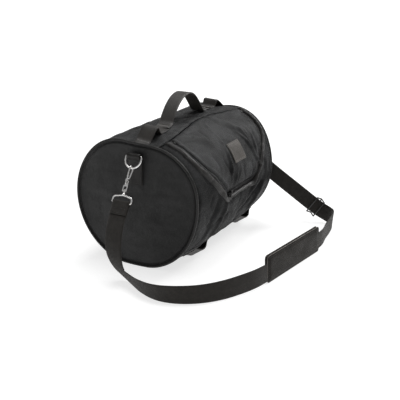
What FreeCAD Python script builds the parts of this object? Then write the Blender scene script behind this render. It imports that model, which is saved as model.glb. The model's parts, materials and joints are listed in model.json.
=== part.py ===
# Barrel duffel bag with a zipped front flap, carry handle, webbing loops and a clip-on shoulder strap.
# Millimetres. The barrel lies along X, the flap faces -Y, +Z is up and the bag stands on z = 0.
import FreeCAD, Part
import math
import os

V = FreeCAD.Vector

# ---- driving dimensions ----------------------------------------------------------------------------
BARREL_RADIUS = 142.0        # outside of the canvas
AXIS_HEIGHT = 138.0          # barrel axis above the ground; the canvas is pressed flat below it
HALF_LENGTH = 188.0          # outside of each end panel, from the middle
CANVAS = 2.0                 # waxed canvas with its backing
LINING = 1.0
TAPE = 0.8                   # zip tape
TOP_LINE_Y = -8.0            # line over the top that the handle, loops and ring tabs share
SEAM_DEG = 25.0              # top seam, measured from the top towards the front; the flap hinges here
FLAP_END_DEG = 90.0          # bottom run of the zip
FRONT_END_DEG = 130.0        # seam between front and bottom panels
BACK_START_DEG = -130.0
TOP_START_DEG = -70.0
FLAP_CENTRE_X = 6.0
FLAP_TOP_HALF = 156.0        # half width of the flap at the top seam
FLAP_HIP_HALF = 153.0        # where its sides start to converge
FLAP_BOTTOM_HALF = 64.0
ZIP_GAP = 0.8                # from the zip's centre line to each coil
COIL_WIDTH = 2.6
COIL_HEIGHT = 2.4
SEAM_CLEARANCE = 1.8         # the hinge line's running gap
GUARD_OUTER = 20.0           # outer edge of the zip guard, from the zip's centre line
GUARD_THICK = 1.8
LABEL_X = 14.0               # middle of the label along the barrel
LABEL_HALF = 26.0
LABEL_THICK = 1.4
LABEL_TOP_DEG = 52.0
LABEL_BOTTOM_DEG = 67.6
WEBBING_WIDTH = 38.0
WEBBING = 2.2                # webbing thickness
LOOP_WIDTH = 36.0
LOOP_THICK = 3.0
HANDLE_WIDTH = 32.0
HANDLE_THICK = 3.6
FOOT_INNER = 56.0            # handle foot along the barrel, from its middle
FOOT_OUTER = 86.0
FOOT_THICK = 2.4
PIPING = 3.0                 # piping's stand-out
BAR_OUT = 9.0                # D-ring bar from the end panel
BAR_HEIGHT = 240.0
RING_WIRE = 2.0              # wire radius
RING_HALF = 18.0             # half width of the D-ring's centre line
RING_DROP = 24.0             # bar to the lowest point of the ring's centre line
RING_LEAN = 25.0             # the ring hangs out from the end panel by this angle
TAB_WIDTH = 30.0
TAB_FOOT = 179.0             # lower end of the ring tab
TAB_ROLL = 4.7               # outer radius of the tab where it rolls round the bar
CLIP_LENGTH = 97.0           # ring wire to the end of the sewn webbing fold

FLAP_MID_DEG = (SEAM_DEG + FLAP_END_DEG) / 2.0
U_EDGE = BARREL_RADIUS * math.sin(math.radians(FLAP_MID_DEG - SEAM_DEG))
COIL_BASE = BARREL_RADIUS - CANVAS + 0.2
COIL_TOP = COIL_BASE + COIL_HEIGHT
CANVAS_TO_ZIP = ZIP_GAP + COIL_WIDTH + 0.8
NODES = {}


# ---- general helpers -------------------------------------------------------------------------------
def keep(name, shape):
    """Store one node under the name its STEP file gets."""
    NODES[name] = shape


def box(x0, y0, z0, x1, y1, z1):
    return Part.makeBox(x1 - x0, y1 - y0, z1 - z0, V(x0, y0, z0))


def direction(deg):
    """Radial direction on the barrel, from the top (0) towards the front (90)."""
    a = math.radians(deg)
    return V(0, -math.sin(a), math.cos(a))


def on_barrel(x, deg, radius=BARREL_RADIUS):
    return V(x, 0, AXIS_HEIGHT) + direction(deg) * radius


def barrel(radius, floor, x0, x1):
    """Round prism along X with its underside pressed flat at z = floor."""
    round_bar = Part.makeCylinder(radius, x1 - x0, V(x0, 0, AXIS_HEIGHT), V(1, 0, 0))
    return round_bar.common(box(x0 - 1, -radius - 1, floor, x1 + 1, radius + 1, AXIS_HEIGHT + radius + 1))


def shell(r_in, r_out, x0=-HALF_LENGTH, x1=HALF_LENGTH):
    inset_out = max(BARREL_RADIUS - r_out, 0.0)
    inset_in = max(BARREL_RADIUS - r_in, 0.0)
    return barrel(r_out, inset_out, x0, x1).cut(barrel(r_in, inset_in, x0 - 1, x1 + 1))


def wedge(deg0, deg1, x0=-HALF_LENGTH - 5, x1=HALF_LENGTH + 5):
    """Sector of a disc between two angles, extruded along X."""
    reach = 260.0
    steps = max(1, int(math.ceil((deg1 - deg0) / 40.0)))
    points = [V(x0, 0, AXIS_HEIGHT)]
    for i in range(steps + 1):
        points.append(V(x0, 0, AXIS_HEIGHT) + direction(deg0 + (deg1 - deg0) * i / steps) * reach)
    points.append(points[0])
    return Part.Face(Part.makePolygon(points)).extrude(V(x1 - x0, 0, 0))


def rounded_path(points, radii):
    """Straight runs joined by tangent arcs: a list of edges and the radii it used."""
    edges, used, start = [], [], points[0]
    for i in range(1, len(points) - 1):
        a, b, c = points[i - 1], points[i], points[i + 1]
        u, w = (a - b), (c - b)
        run = min(u.Length, w.Length)
        u.normalize()
        w.normalize()
        half_turn = (math.pi - u.getAngle(w)) / 2.0
        radius = radii[i - 1] if radii else 0.45 * run / math.tan(half_turn)
        reach = radius * math.tan(half_turn)
        p, q = b + u * reach, b + w * reach
        bisector = u + w
        bisector.normalize()
        middle = b + bisector * (radius / math.cos(half_turn) - radius)
        if (p - start).Length > 1e-4:
            edges.append(Part.LineSegment(start, p).toShape())
        edges.append(Part.Arc(p, middle, q).toShape())
        used.append(radius)
        start = q
    if (points[-1] - start).Length > 1e-4:
        edges.append(Part.LineSegment(start, points[-1]).toShape())
    return edges, used


def rod(edges, radius):
    """Round wire along straight and arc edges, one solid per edge, fused."""
    pieces = []
    for edge in edges:
        a = edge.valueAt(edge.FirstParameter)
        tangent = edge.tangentAt(edge.FirstParameter)
        disc = Part.Face(Part.Wire([Part.makeCircle(radius, a, tangent)]))
        if isinstance(edge.Curve, Part.Line):
            pieces.append(disc.extrude(edge.valueAt(edge.LastParameter) - a))
        else:
            turn = math.degrees(edge.LastParameter - edge.FirstParameter)
            pieces.append(disc.revolve(edge.Curve.Center, edge.Curve.Axis, turn))
    return pieces[0].multiFuse(pieces[1:]).removeSplitter() if len(pieces) > 1 else pieces[0]


def closed_rod(corners, radii, radius):
    """Closed wire loop: a polygon of corners, each rounded by its own radius."""
    middle = (corners[0] + corners[-1]) * 0.5
    edges, _ = rounded_path([middle] + corners + [middle], radii)
    return rod(edges, radius)


# ---- flap outline ----------------------------------------------------------------------------------
def flap_prism(offset, top_gap):
    """Prism through the front of the barrel with the flap's outline grown by offset."""
    mid, across = direction(FLAP_MID_DEG), direction(FLAP_MID_DEG + 90)
    top = -U_EDGE + top_gap
    outline = [(-FLAP_TOP_HALF, top), (FLAP_TOP_HALF, top), (FLAP_HIP_HALF, -4.0),
               (FLAP_BOTTOM_HALF, U_EDGE), (-FLAP_BOTTOM_HALF, U_EDGE), (-FLAP_HIP_HALF, -4.0)]
    grown = []
    count = len(outline)
    for i in range(count):
        (x0, u0), (x1, u1), (x2, u2) = outline[i - 1], outline[i], outline[(i + 1) % count]
        n1 = (u1 - u0, x0 - x1)
        n2 = (u2 - u1, x1 - x2)
        l1, l2 = math.hypot(*n1), math.hypot(*n2)
        o1 = 0.0 if i == 1 else offset
        o2 = 0.0 if i == 0 else offset
        a1, b1, c1 = n1[0] / l1, n1[1] / l1, o1
        a2, b2, c2 = n2[0] / l2, n2[1] / l2, o2
        det = a1 * b2 - a2 * b1
        dx, du = (c1 * b2 - c2 * b1) / det, (a1 * c2 - a2 * c1) / det
        grown.append((x1 + dx, u1 + du))
    base = V(FLAP_CENTRE_X, 0, AXIS_HEIGHT) + mid * 70.0
    corners = [base + V(x, 0, 0) + across * u for x, u in grown]
    hip, toe = 60.0 + offset, 15.0 + offset
    path = [(corners[0] + corners[1]) * 0.5] + corners[1:] + [corners[0], (corners[0] + corners[1]) * 0.5]
    edges, _ = rounded_path(path, [1.0, hip, toe, toe, hip, 1.0])
    return Part.Face(Part.Wire(edges)).extrude(mid * 140.0)


def zip_band(inner, outer, r_in, r_out, side):
    """Strip that follows the flap's three free edges, between two offsets and two radii."""
    low, high = sorted((inner * side, outer * side))
    strip = flap_prism(high, 0.0).cut(flap_prism(low, -10.0 if low > 0 else -8.0))
    solid = shell(r_in, r_out).common(strip)
    return solid.common(wedge(SEAM_DEG + 1.2, 150.0))


# ---- barrel ----------------------------------------------------------------------------------------
def make_barrel():
    skin = shell(BARREL_RADIUS - CANVAS, BARREL_RADIUS, -HALF_LENGTH + CANVAS, HALF_LENGTH - CANVAS)
    keep("top_panel", skin.common(wedge(TOP_START_DEG, SEAM_DEG)))
    keep("back_panel", skin.common(wedge(BACK_START_DEG, TOP_START_DEG)))
    keep("bottom_panel", skin.common(wedge(FRONT_END_DEG, 360.0 + BACK_START_DEG)))
    front = skin.common(wedge(SEAM_DEG, FRONT_END_DEG)).cut(flap_prism(CANVAS_TO_ZIP, -8.0))
    keep("front_panel", front)
    for name, side in (("near", -1), ("far", 1)):
        x0, x1 = sorted((side * HALF_LENGTH, side * (HALF_LENGTH - CANVAS)))
        keep(name + "_end_panel", barrel(BARREL_RADIUS, 0.0, x0, x1))
        x0, x1 = sorted((side * (HALF_LENGTH - CANVAS), side * (HALF_LENGTH - CANVAS - LINING)))
        keep(name + "_end_lining", barrel(BARREL_RADIUS - CANVAS, CANVAS, x0, x1))
        x0, x1 = sorted((side * (HALF_LENGTH + 2.0), side * (HALF_LENGTH - 3.0)))
        ring = barrel(BARREL_RADIUS + PIPING, 0.0, x0, x1).cut(barrel(BARREL_RADIUS, 0.0, x0 - 1, x1 + 1))
        keep(name + "_piping", ring)
    inner = HALF_LENGTH - CANVAS - LINING
    lining_out = BARREL_RADIUS - CANVAS - TAPE
    lining = shell(lining_out - LINING, lining_out, -inner, inner)
    keep("barrel_lining", lining.cut(flap_prism(10.0, -8.0).common(wedge(SEAM_DEG - 2.0, 150.0))))


# ---- flap and zip ----------------------------------------------------------------------------------
def make_flap():
    skin = shell(BARREL_RADIUS - CANVAS, BARREL_RADIUS)
    lining_out = BARREL_RADIUS - CANVAS - TAPE
    keep("flap_panel", skin.common(flap_prism(-CANVAS_TO_ZIP, SEAM_CLEARANCE)))
    lining = shell(lining_out - LINING, lining_out).common(flap_prism(-13.0, SEAM_CLEARANCE + 4.0))
    keep("flap_lining", lining)
    tape_in = BARREL_RADIUS - CANVAS - TAPE
    open_top = wedge(SEAM_DEG + 2.5, 150.0)
    for name, side in (("body", 1), ("flap", -1)):
        tape = zip_band(ZIP_GAP + 0.1, 11.0, tape_in, tape_in + TAPE, side)
        keep("zip_tape_" + name, tape.common(open_top))
        coil = zip_band(ZIP_GAP, ZIP_GAP + COIL_WIDTH, tape_in + TAPE, COIL_TOP, side)
        keep("zip_coil_" + name, coil.common(open_top))
    guard = zip_band(CANVAS_TO_ZIP + 1.6, GUARD_OUTER, BARREL_RADIUS, BARREL_RADIUS + GUARD_THICK, 1)
    keep("zip_guard", guard)
    label = box(LABEL_X - LABEL_HALF, -300, 0, LABEL_X + LABEL_HALF, 0, 300)
    sector = wedge(LABEL_TOP_DEG, LABEL_BOTTOM_DEG)
    patch = shell(BARREL_RADIUS, BARREL_RADIUS + LABEL_THICK).common(sector).common(label)
    keep("label_patch", patch)


SLIDER_X = -42.0             # the slider's parked place, at the near end of the bottom run
SLIDER_LENGTH = 13.0
SLIDER_HALF = 4.2            # half width of the upper plate
SLIDER_POST = 0.35           # half thickness of the post between the coils
PULL_LENGTH = 19.0


def zip_line(y):
    """Height of the zip's centre line at depth y: the zip is cut along the flap's opening direction."""
    return AXIS_HEIGHT - (BARREL_RADIUS + y) * math.tan(math.radians(FLAP_END_DEG - FLAP_MID_DEG))


def zip_block(x0, x1, below, above, y0, y1):
    """Block on the bottom run, measured below and above the zip's slanted centre line."""
    ring = [V(x0, y0, zip_line(y0) - below), V(x0, y1, zip_line(y1) - below),
            V(x0, y1, zip_line(y1) + above), V(x0, y0, zip_line(y0) + above)]
    return Part.Face(Part.makePolygon(ring + ring[:1])).extrude(V(x1 - x0, 0, 0))


def make_slider():
    """Slider on the bottom run of the zip. Its lower plate runs under the flap's coil only."""
    x0, x1 = SLIDER_X - SLIDER_LENGTH / 2.0, SLIDER_X + SLIDER_LENGTH / 2.0
    y_top = -(COIL_TOP + 0.4)
    y_under = -(BARREL_RADIUS - CANVAS - TAPE - 0.5)
    plate = zip_block(x0, x1, SLIDER_HALF, SLIDER_HALF, y_top - 1.5, y_top)
    under = zip_block(x0, x1, SLIDER_POST, SLIDER_HALF, y_under, y_under + 1.2)
    post = zip_block(x0 + 1.0, x0 + 4.5, SLIDER_POST, SLIDER_POST, y_top - 0.5, y_under + 0.5)
    bar_y = y_top - 4.6
    bar_z = zip_line(bar_y)
    legs = [box(x - 0.9, bar_y - 0.8, bar_z - 1.2, x + 0.9, y_top - 1.0, bar_z + 1.2)
            for x in (SLIDER_X - 5.0, SLIDER_X + 5.0)]
    bar = box(SLIDER_X - 5.9, bar_y - 0.8, bar_z - 1.2, SLIDER_X + 5.9, bar_y + 0.8, bar_z + 1.2)
    keep("zip_slider", plate.multiFuse([under, post, bar] + legs).removeSplitter())
    eye = Part.makeCylinder(3.0, 5.0, V(SLIDER_X - 2.5, bar_y, bar_z), V(1, 0, 0))
    tail = box(SLIDER_X - 3.4, bar_y - 1.0, bar_z - PULL_LENGTH, SLIDER_X + 3.4, bar_y + 1.0, bar_z - 2.2)
    tail = tail.makeFillet(0.6, tail.Edges)
    hole = Part.makeCylinder(1.9, 9.0, V(SLIDER_X - 4.5, bar_y, bar_z), V(1, 0, 0))
    keep("zip_pull", eye.fuse(tail).cut(hole).removeSplitter())
    print("pull hinge", [round(v, 2) for v in (SLIDER_X, bar_y, bar_z)])


STOP_DEG = SEAM_DEG + 5.0


def make_stops():
    """Crimped stops at the two top ends of the flap's coil."""
    stops = []
    for side in (-1, 1):
        x = FLAP_CENTRE_X + side * (FLAP_TOP_HALF - ZIP_GAP - 1.5)
        stop = Part.makeBox(2.6, 1.0, 4.0, V(-1.3, -1.0, -2.0))
        stop.rotate(V(0, 0, 0), V(1, 0, 0), STOP_DEG - 90.0)
        stop.translate(on_barrel(x, STOP_DEG, COIL_TOP + 0.05))
        stops.append(stop)
    keep("zip_end_stops", Part.makeCompound(stops))


# ---- handle and loops ------------------------------------------------------------------------------
def arch(foot0, foot1, crest, thick, width, flat):
    """Strap bent up off a flat base: profile in X and height, extruded across by width."""
    points = [(foot0, 0.0), (foot0 + flat, 0.0), (foot0 + flat + 7.0, crest), (foot1 - flat - 7.0, crest),
              (foot1 - flat, 0.0), (foot1, 0.0)]
    centre = [V(x, 0, z + thick / 2.0) for x, z in points]
    edges, _ = rounded_path(centre, [4.0, 4.5, 4.5, 4.0])
    wire = Part.Wire(edges)
    half = V(0, 0, thick / 2.0)
    outer = offset_profile(wire, thick / 2.0)
    inner = offset_profile(wire, -thick / 2.0)
    first = Part.LineSegment(inner[0], outer[0]).toShape()
    last = Part.LineSegment(outer[1], inner[1]).toShape()
    face = Part.Face(Part.Wire(Part.sortEdges(outer[2] + [last] + inner[2] + [first])[0]))
    solid = face.extrude(V(0, width, 0))
    solid.translate(V(0, -width / 2.0, 0))
    return solid


def offset_profile(wire, amount):
    """Parallel curve of a wire of lines and arcs that lies in the XZ plane."""
    edges, ends = [], []
    for edge in wire.OrderedEdges:
        a, b = edge.FirstParameter, edge.LastParameter
        start, stop = edge.valueAt(a), edge.valueAt(b)
        points = [p + side_of(edge.tangentAt(t)) * amount for p, t in
                  ((start, a), (edge.valueAt((a + b) / 2.0), (a + b) / 2.0), (stop, b))]
        if edge.Orientation == "Reversed":
            points.reverse()
        ends += [points[0], points[2]]
        if isinstance(edge.Curve, Part.Line):
            edges.append(Part.LineSegment(points[0], points[2]).toShape())
        else:
            edges.append(Part.Arc(points[0], points[1], points[2]).toShape())
    return ends[0], ends[-1], edges


def side_of(tangent):
    return V(-tangent.z, 0, tangent.x)


LOOP_SPANS = {"near_top_loop": (-182.0, -108.0, 0), "far_top_loop": (108.0, 182.0, 0),
              "near_bottom_loop": (-118.0, -46.0, 1), "far_bottom_loop": (104.0, 176.0, 1)}
LOOP_CREST = 11.0
BOTTOM_LOOP_DEG = 145.0
TOP_LINE_DEG = math.degrees(math.asin(-TOP_LINE_Y / BARREL_RADIUS))


def make_loops():
    solid_barrel = Part.makeCylinder(BARREL_RADIUS, 500, V(-250, 0, AXIS_HEIGHT), V(1, 0, 0))
    for name, (x0, x1, low) in LOOP_SPANS.items():
        deg = BOTTOM_LOOP_DEG if low else TOP_LINE_DEG
        crest = LOOP_CREST - 1.0 if low else LOOP_CREST
        strip = arch(x0, x1, crest, LOOP_THICK, LOOP_WIDTH, 16.0)
        strip.translate(V(0, 0, BARREL_RADIUS - 1.2))
        strip.rotate(V(0, 0, 0), V(1, 0, 0), deg)
        strip.translate(V(0, 0, AXIS_HEIGHT))
        keep(name, strip.cut(solid_barrel))


HANDLE_RADIUS = 71.0         # outside of the arch
HANDLE_TOP = 333.0
HANDLE_CUT = 303.0           # the arch swings above here; below it the strap bends


def make_handle():
    y0, y1 = TOP_LINE_Y - HANDLE_WIDTH / 2.0, TOP_LINE_Y + HANDLE_WIDTH / 2.0
    centre = V(0, y0, HANDLE_TOP - HANDLE_RADIUS)
    outer = Part.makeCylinder(HANDLE_RADIUS, HANDLE_WIDTH, centre, V(0, 1, 0))
    inner = Part.makeCylinder(HANDLE_RADIUS - HANDLE_THICK, HANDLE_WIDTH, centre, V(0, 1, 0))
    above = box(-100, y0 - 1, HANDLE_CUT, 100, y1 + 1, 400)
    keep("carry_handle", outer.cut(inner).common(above))
    solid_barrel = Part.makeCylinder(BARREL_RADIUS, 500, V(-250, 0, AXIS_HEIGHT), V(1, 0, 0))
    top = AXIS_HEIGHT + BARREL_RADIUS
    for name, side in (("near", -1), ("far", 1)):
        x0, x1 = sorted((side * FOOT_INNER, side * FOOT_OUTER))
        foot = box(x0, y0 + 0.5, top - 8.0, x1, y1 - 0.5, top + FOOT_THICK)
        keep(name + "_handle_foot", foot.cut(solid_barrel))


# ---- D-rings, hooks and clips ----------------------------------------------------------------------
def frame_matrix(origin, up, toward_bag):
    """Placement whose +Z is up and whose +X leans towards the bag."""
    z = V(up)
    z.normalize()
    x = V(toward_bag) - z * V(toward_bag).dot(z)
    x.normalize()
    y = z.cross(x)
    return FreeCAD.Matrix(x.x, y.x, z.x, origin.x, x.y, y.y, z.y, origin.y,
                          x.z, y.z, z.z, origin.z, 0, 0, 0, 1)


def bar_point(side):
    return V(side * (HALF_LENGTH + BAR_OUT), TOP_LINE_Y, BAR_HEIGHT)


def ring_down(side):
    a = math.radians(RING_LEAN)
    return V(side * math.sin(a), 0, -math.cos(a))


def make_ring(name, side):
    bar, down = bar_point(side), ring_down(side)
    corners = [bar + V(0, -RING_HALF, 0), bar + V(0, -RING_HALF, 0) + down * RING_DROP,
               bar + V(0, RING_HALF, 0) + down * RING_DROP, bar + V(0, RING_HALF, 0)]
    bottom = RING_HALF - 0.01
    keep(name + "_d_ring", closed_rod(corners, [3.0, bottom, bottom, 3.0], RING_WIRE))
    x0, x1 = sorted((side * HALF_LENGTH, side * (HALF_LENGTH + 4.8)))
    y0, y1 = TOP_LINE_Y - TAB_WIDTH / 2.0, TOP_LINE_Y + TAB_WIDTH / 2.0
    strip = box(x0, y0, TAB_FOOT, x1, y1, BAR_HEIGHT + 3.0)
    roll = Part.makeCylinder(TAB_ROLL, TAB_WIDTH, V(bar.x, y0, bar.z), V(0, 1, 0))
    x0, x1 = sorted((side * (HALF_LENGTH + 2.0), side * (HALF_LENGTH + BAR_OUT)))
    throat = box(x0, y0, BAR_HEIGHT - TAB_ROLL, x1, y1, BAR_HEIGHT + TAB_ROLL)
    bore = Part.makeCylinder(RING_WIRE + 0.3, TAB_WIDTH + 2, V(bar.x, y0 - 1, bar.z), V(0, 1, 0))
    keep(name + "_ring_tab", strip.multiFuse([roll, throat]).removeSplitter().cut(bore))


JAW = 6.0                    # hook bow, centre line radius
HOOK_WIRE = 1.7
GATE_X = -3.9                # gate hinge, in the hook's own frame
GATE_Z = -25.0
GATE_PIN = 0.8               # pin radius
BALL_Z = -55.0
LOOP_BAR_Z = -72.0           # bar that carries the webbing
FOLD_ROLL = 4.2              # outer radius of the webbing round that bar
FOLD_BORE = 2.0
FOLD_SEAM_Z = -84.0          # where the fold's two layers come together
CROWN = -(RING_WIRE + HOOK_WIRE + 0.2)


def hook_solid():
    """Snap hook in its own frame: ring wire at the origin along Y, the hook below it."""
    bow_z = -CROWN - JAW
    spine = [V(2.4, 0, -25.0), V(JAW, 0, bow_z - 3.0), V(JAW, 0, bow_z + JAW),
             V(-JAW, 0, bow_z + JAW), V(-JAW, 0, -8.0)]
    edges, _ = rounded_path(spine, [8.0, JAW - 0.01, JAW - 0.01])
    bow = rod(edges, HOOK_WIRE)
    shank = Part.makeCylinder(3.6, 14.0, V(0, 0, -37.0))
    cheeks = box(-5.0, -3.2, -28.0, 0.0, 3.2, -22.5)
    cheeks = cheeks.makeFillet(0.8, cheeks.Edges)
    shank = shank.fuse(cheeks).cut(box(-6.0, -2.1, -38.0, -1.6, 2.1, -20.0))
    frame = box(-2.6, -5.2, -50.0, 2.6, 5.2, -35.5)
    upright = [e for e in frame.Edges if abs(e.tangentAt(e.FirstParameter).x) > 0.9]
    frame = frame.makeFillet(2.4, upright)
    window = box(-4.0, -3.0, -46.5, 4.0, 3.0, -39.0)
    bore = Part.makeCylinder(1.9, 6.0, V(0, 0, -51.0))
    return bow.multiFuse([shank, frame]).removeSplitter().cut(window).cut(bore)


def gate_solid():
    """Sprung gate: an arm that closes the bow and a thumb lever beside the shank."""
    arm, _ = rounded_path([V(-JAW, 0, -8.6), V(-JAW, 0, -14.0), V(GATE_X, 0, GATE_Z + 1.0)], [9.0])
    lever = box(-6.2, -1.7, -34.0, -2.45, 1.7, -23.0)
    lever = lever.makeFillet(0.8, lever.Edges)
    hole = Part.makeCylinder(GATE_PIN + 0.1, 8, V(GATE_X, -4, GATE_Z), V(0, 1, 0))
    return rod(arm, 1.5).fuse(lever).cut(hole)


def swivel_solid():
    """Swivel post and head, ball and the wire loop that carries the webbing."""
    post = Part.makeCylinder(1.6, 8.0, V(0, 0, -53.5))
    head = Part.makeCylinder(2.4, 1.8, V(0, 0, -46.2))
    ball = Part.makeSphere(3.6, V(0, 0, BALL_Z))
    half = WEBBING_WIDTH / 2.0 + 2.5
    corners = [V(0, -half, LOOP_BAR_Z), V(0, -half, -60.5), V(0, 0, -56.5), V(0, half, -60.5),
               V(0, half, LOOP_BAR_Z)]
    loop = closed_rod(corners, [3.0, 5.0, 6.0, 5.0, 3.0], HOOK_WIRE)
    return post.multiFuse([head, ball, loop]).removeSplitter()


def fold_solid():
    """Webbing end, folded round the loop's bar and sewn flat."""
    half = WEBBING_WIDTH / 2.0
    outside = [(-FOLD_ROLL, LOOP_BAR_Z), (FOLD_ROLL, LOOP_BAR_Z), (WEBBING, FOLD_SEAM_Z),
               (WEBBING, -CLIP_LENGTH), (-WEBBING, -CLIP_LENGTH), (-WEBBING, FOLD_SEAM_Z)]
    inside = [(-FOLD_BORE, LOOP_BAR_Z), (FOLD_BORE, LOOP_BAR_Z), (0.1, -80.0), (-0.1, -80.0)]

    def prism(points, reach):
        ring = [V(x, -reach, z) for x, z in points + points[:1]]
        return Part.Face(Part.makePolygon(ring)).extrude(V(0, 2 * reach, 0))

    roll = Part.makeCylinder(FOLD_ROLL, 2 * half, V(0, -half, LOOP_BAR_Z), V(0, 1, 0))
    hole = Part.makeCylinder(FOLD_BORE, 2 * half + 2, V(0, -half - 1, LOOP_BAR_Z), V(0, 1, 0))
    return roll.fuse(prism(outside, half)).cut(hole).cut(prism(inside, half + 1)).removeSplitter()


def clip_frame(side):
    """Where the hook hangs on the ring, and which way it points."""
    bar, down = bar_point(side), ring_down(side)
    centre = bar + down * (RING_DROP - RING_HALF)
    round_ring = math.radians(CLIP_ROUND[side])
    contact = centre + down * (RING_HALF * math.cos(round_ring)) + V(0, -RING_HALF * math.sin(round_ring), 0)
    d = V(CLIP_DIRECTION[side])
    d.normalize()
    return contact, d


CLIP_ROUND = {-1: 0.0, 1: 42.0}     # degrees round the ring from its lowest point, towards the front
CLIP_DIRECTION = {-1: V(-0.559, 0.0, -0.829), 1: V(0.10, -0.68, -0.72)}


def make_clip(name, side):
    contact, d = clip_frame(side)
    place = frame_matrix(contact, d * -1.0, V(-side, 0, 0))
    pin = Part.makeCylinder(GATE_PIN, 6.4, V(GATE_X, -3.2, GATE_Z), V(0, 1, 0))
    spring = box(-1.95, -1.0, -35.0, -1.6, 1.0, -27.0)
    body = hook_solid()
    body = body.cut(Part.makeCylinder(GATE_PIN, 8.0, V(GATE_X, -4.0, GATE_Z), V(0, 1, 0)))
    pieces = {"_hook": body, "_hook_gate": gate_solid(), "_gate_pin": pin, "_gate_spring": spring,
              "_swivel_loop": swivel_solid(), "_webbing_fold": fold_solid()}
    for suffix, solid in pieces.items():
        keep(name + suffix, moved(solid, place))


def moved(solid, matrix):
    copy = solid.copy()
    copy.Placement = FreeCAD.Placement(matrix).multiply(copy.Placement)
    return copy


# ---- shoulder strap --------------------------------------------------------------------------------
STRAP_MIDDLE = WEBBING_WIDTH / 2.0
NEAR_DROP = [V(-275.5, 0, 114.0), V(-281.5, 0, 84.0), V(-281.5, 0, 0.0)]
FLOOR_NEAR = [V(-281.5, -27.0, 0), V(-283.0, -52.0, 0), V(-300.0, -84.0, 0), V(-309.0, -122.0, 0),
              V(-301.0, -160.0, 0), V(-281.0, -198.0, 0), V(-245.0, -229.0, 0), V(-206.0, -252.0, 0),
              V(-167.0, -272.3, 0)]
CLIMB_FOOT = 24.0            # middle of the webbing where it starts to climb to the far clip
CLIMB_KNEE = V(24.0, 0, 20.0)
ADJUSTER_PLACE = 20.0        # along the climb from its foot
PAD_HEADING = V(0.987, -0.160, 0)
PAD_INSET = 25.0             # straight webbing before the pad, room for it to slide
PAD_LENGTH = 207.0
PAD_HEIGHT = 57.0
PAD_OUTER_THICK = 3.0
PAD_INNER_THICK = 5.0
STRAP_JOIN = 130.0           # along the straight run, inside the pad, where the two lengths meet
STRAIGHT_RUN = 252.0         # the straight run that carries the pad
NEAR_START = 1.3             # clear of the near webbing fold
FAR_END = 1.8                # clear of the far webbing fold
LAST_RUN = 24.0              # straight webbing below the far clip
FLOOR_FAR = [FLOOR_NEAR[-1] + PAD_HEADING * STRAIGHT_RUN, V(126.0, -303.0, 0), V(180.0, -298.0, 0),
             V(218.0, -291.0, 0), V(234.0, -276.0, 0), V(238.5, -257.0, 0)]


def plate_along(edges, thick, vector):
    """Flat webbing: a path of lines and arcs thickened in its plane, then extruded."""
    pieces = []
    for edge in edges:
        a, b = edge.FirstParameter, edge.LastParameter
        mid = (a + b) / 2.0
        up = V(vector)
        up.normalize()

        def side(t, amount):
            normal = edge.tangentAt(t).cross(up)
            normal.normalize()
            return edge.valueAt(t) + normal * amount

        half = thick / 2.0
        if isinstance(edge.Curve, Part.Line):
            corners = [side(a, half), side(b, half), side(b, -half), side(a, -half)]
            outline = Part.makePolygon(corners + corners[:1])
        else:
            outline = Part.Wire([Part.Arc(side(a, half), side(mid, half), side(b, half)).toShape(),
                                 Part.LineSegment(side(b, half), side(b, -half)).toShape(),
                                 Part.Arc(side(b, -half), side(mid, -half), side(a, -half)).toShape(),
                                 Part.LineSegment(side(a, -half), side(a, half)).toShape()])
        pieces.append(Part.Face(outline).extrude(vector))
    return pieces


def make_strap():
    contact, d = clip_frame(-1)
    start = contact + d * (CLIP_LENGTH + NEAR_START)
    drop = [V(p.x, TOP_LINE_Y - STRAP_MIDDLE, p.z) for p in [start] + NEAR_DROP]
    edges, radii_drop = rounded_path(drop, None)
    down = plate_along(edges, WEBBING, V(0, WEBBING_WIDTH, 0))
    middle = FLOOR_NEAR[-1] + PAD_HEADING * STRAP_JOIN
    edges, radii_near = rounded_path(FLOOR_NEAR + [middle], None)
    along = plate_along(edges, WEBBING, V(0, 0, WEBBING_WIDTH))
    keep("strap_near", down[0].multiFuse(down[1:] + along).removeSplitter())
    edges, radii_far = rounded_path([middle] + FLOOR_FAR, None)
    along = plate_along(edges, WEBBING, V(0, 0, WEBBING_WIDTH))
    contact, d = clip_frame(1)
    end = contact + d * (CLIP_LENGTH + FAR_END)
    foot = FLOOR_FAR[-1]
    heading = V(end.x - foot.x, end.y - foot.y, 0)
    flat_run = heading.Length
    heading.normalize()
    steep = math.hypot(d.x, d.y)
    knee = V(flat_run - LAST_RUN * steep, 0, end.z + LAST_RUN * d.z)
    rise = [V(0, 0, CLIMB_FOOT), knee - CLIMB_KNEE, knee, V(flat_run, 0, end.z)]
    climb = rising(rise, foot, heading, -WEBBING / 2.0)
    keep("strap_far", along[0].multiFuse(along[1:] + climb).removeSplitter())
    first = rise[1] - rise[0]
    first.normalize()
    lead = [rise[0] + first * (ADJUSTER_PLACE + 2.0)] + rise[1:]
    back = rising(lead, foot, heading, WEBBING / 2.0 + 0.01)
    keep("strap_return", back[0].multiFuse(back[1:]).removeSplitter())
    for label, radii in (("drop", radii_drop), ("near", radii_near), ("far", radii_far)):
        print("strap", label, "radii", [round(r) for r in radii])
    for p in rise:
        corner = V(foot.x, foot.y, 0) + heading * p.x + V(0, 0, p.z)
        print("climb", [round(v, 1) for v in corner])
    return foot, heading, rise


def rising(points, foot, heading, offset):
    """Webbing on edge that climbs in one upright plane: a plate cut to its outline."""
    pieces = []
    half = STRAP_MIDDLE
    side = heading.cross(V(0, 0, 1))
    for a, b in zip(points[:-1], points[1:]):
        run = b - a
        run.normalize()
        normal = V(-run.z, 0, run.x)
        corners = [a - normal * half, b - normal * half, b + normal * half, a + normal * half]
        base = V(foot.x, foot.y, 0) + side * offset
        world = [base + heading * p.x + V(0, 0, max(p.z, 0.0)) for p in corners]
        pieces.append(Part.Face(Part.makePolygon(world + world[:1])).extrude(side * WEBBING))
    return pieces


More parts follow.
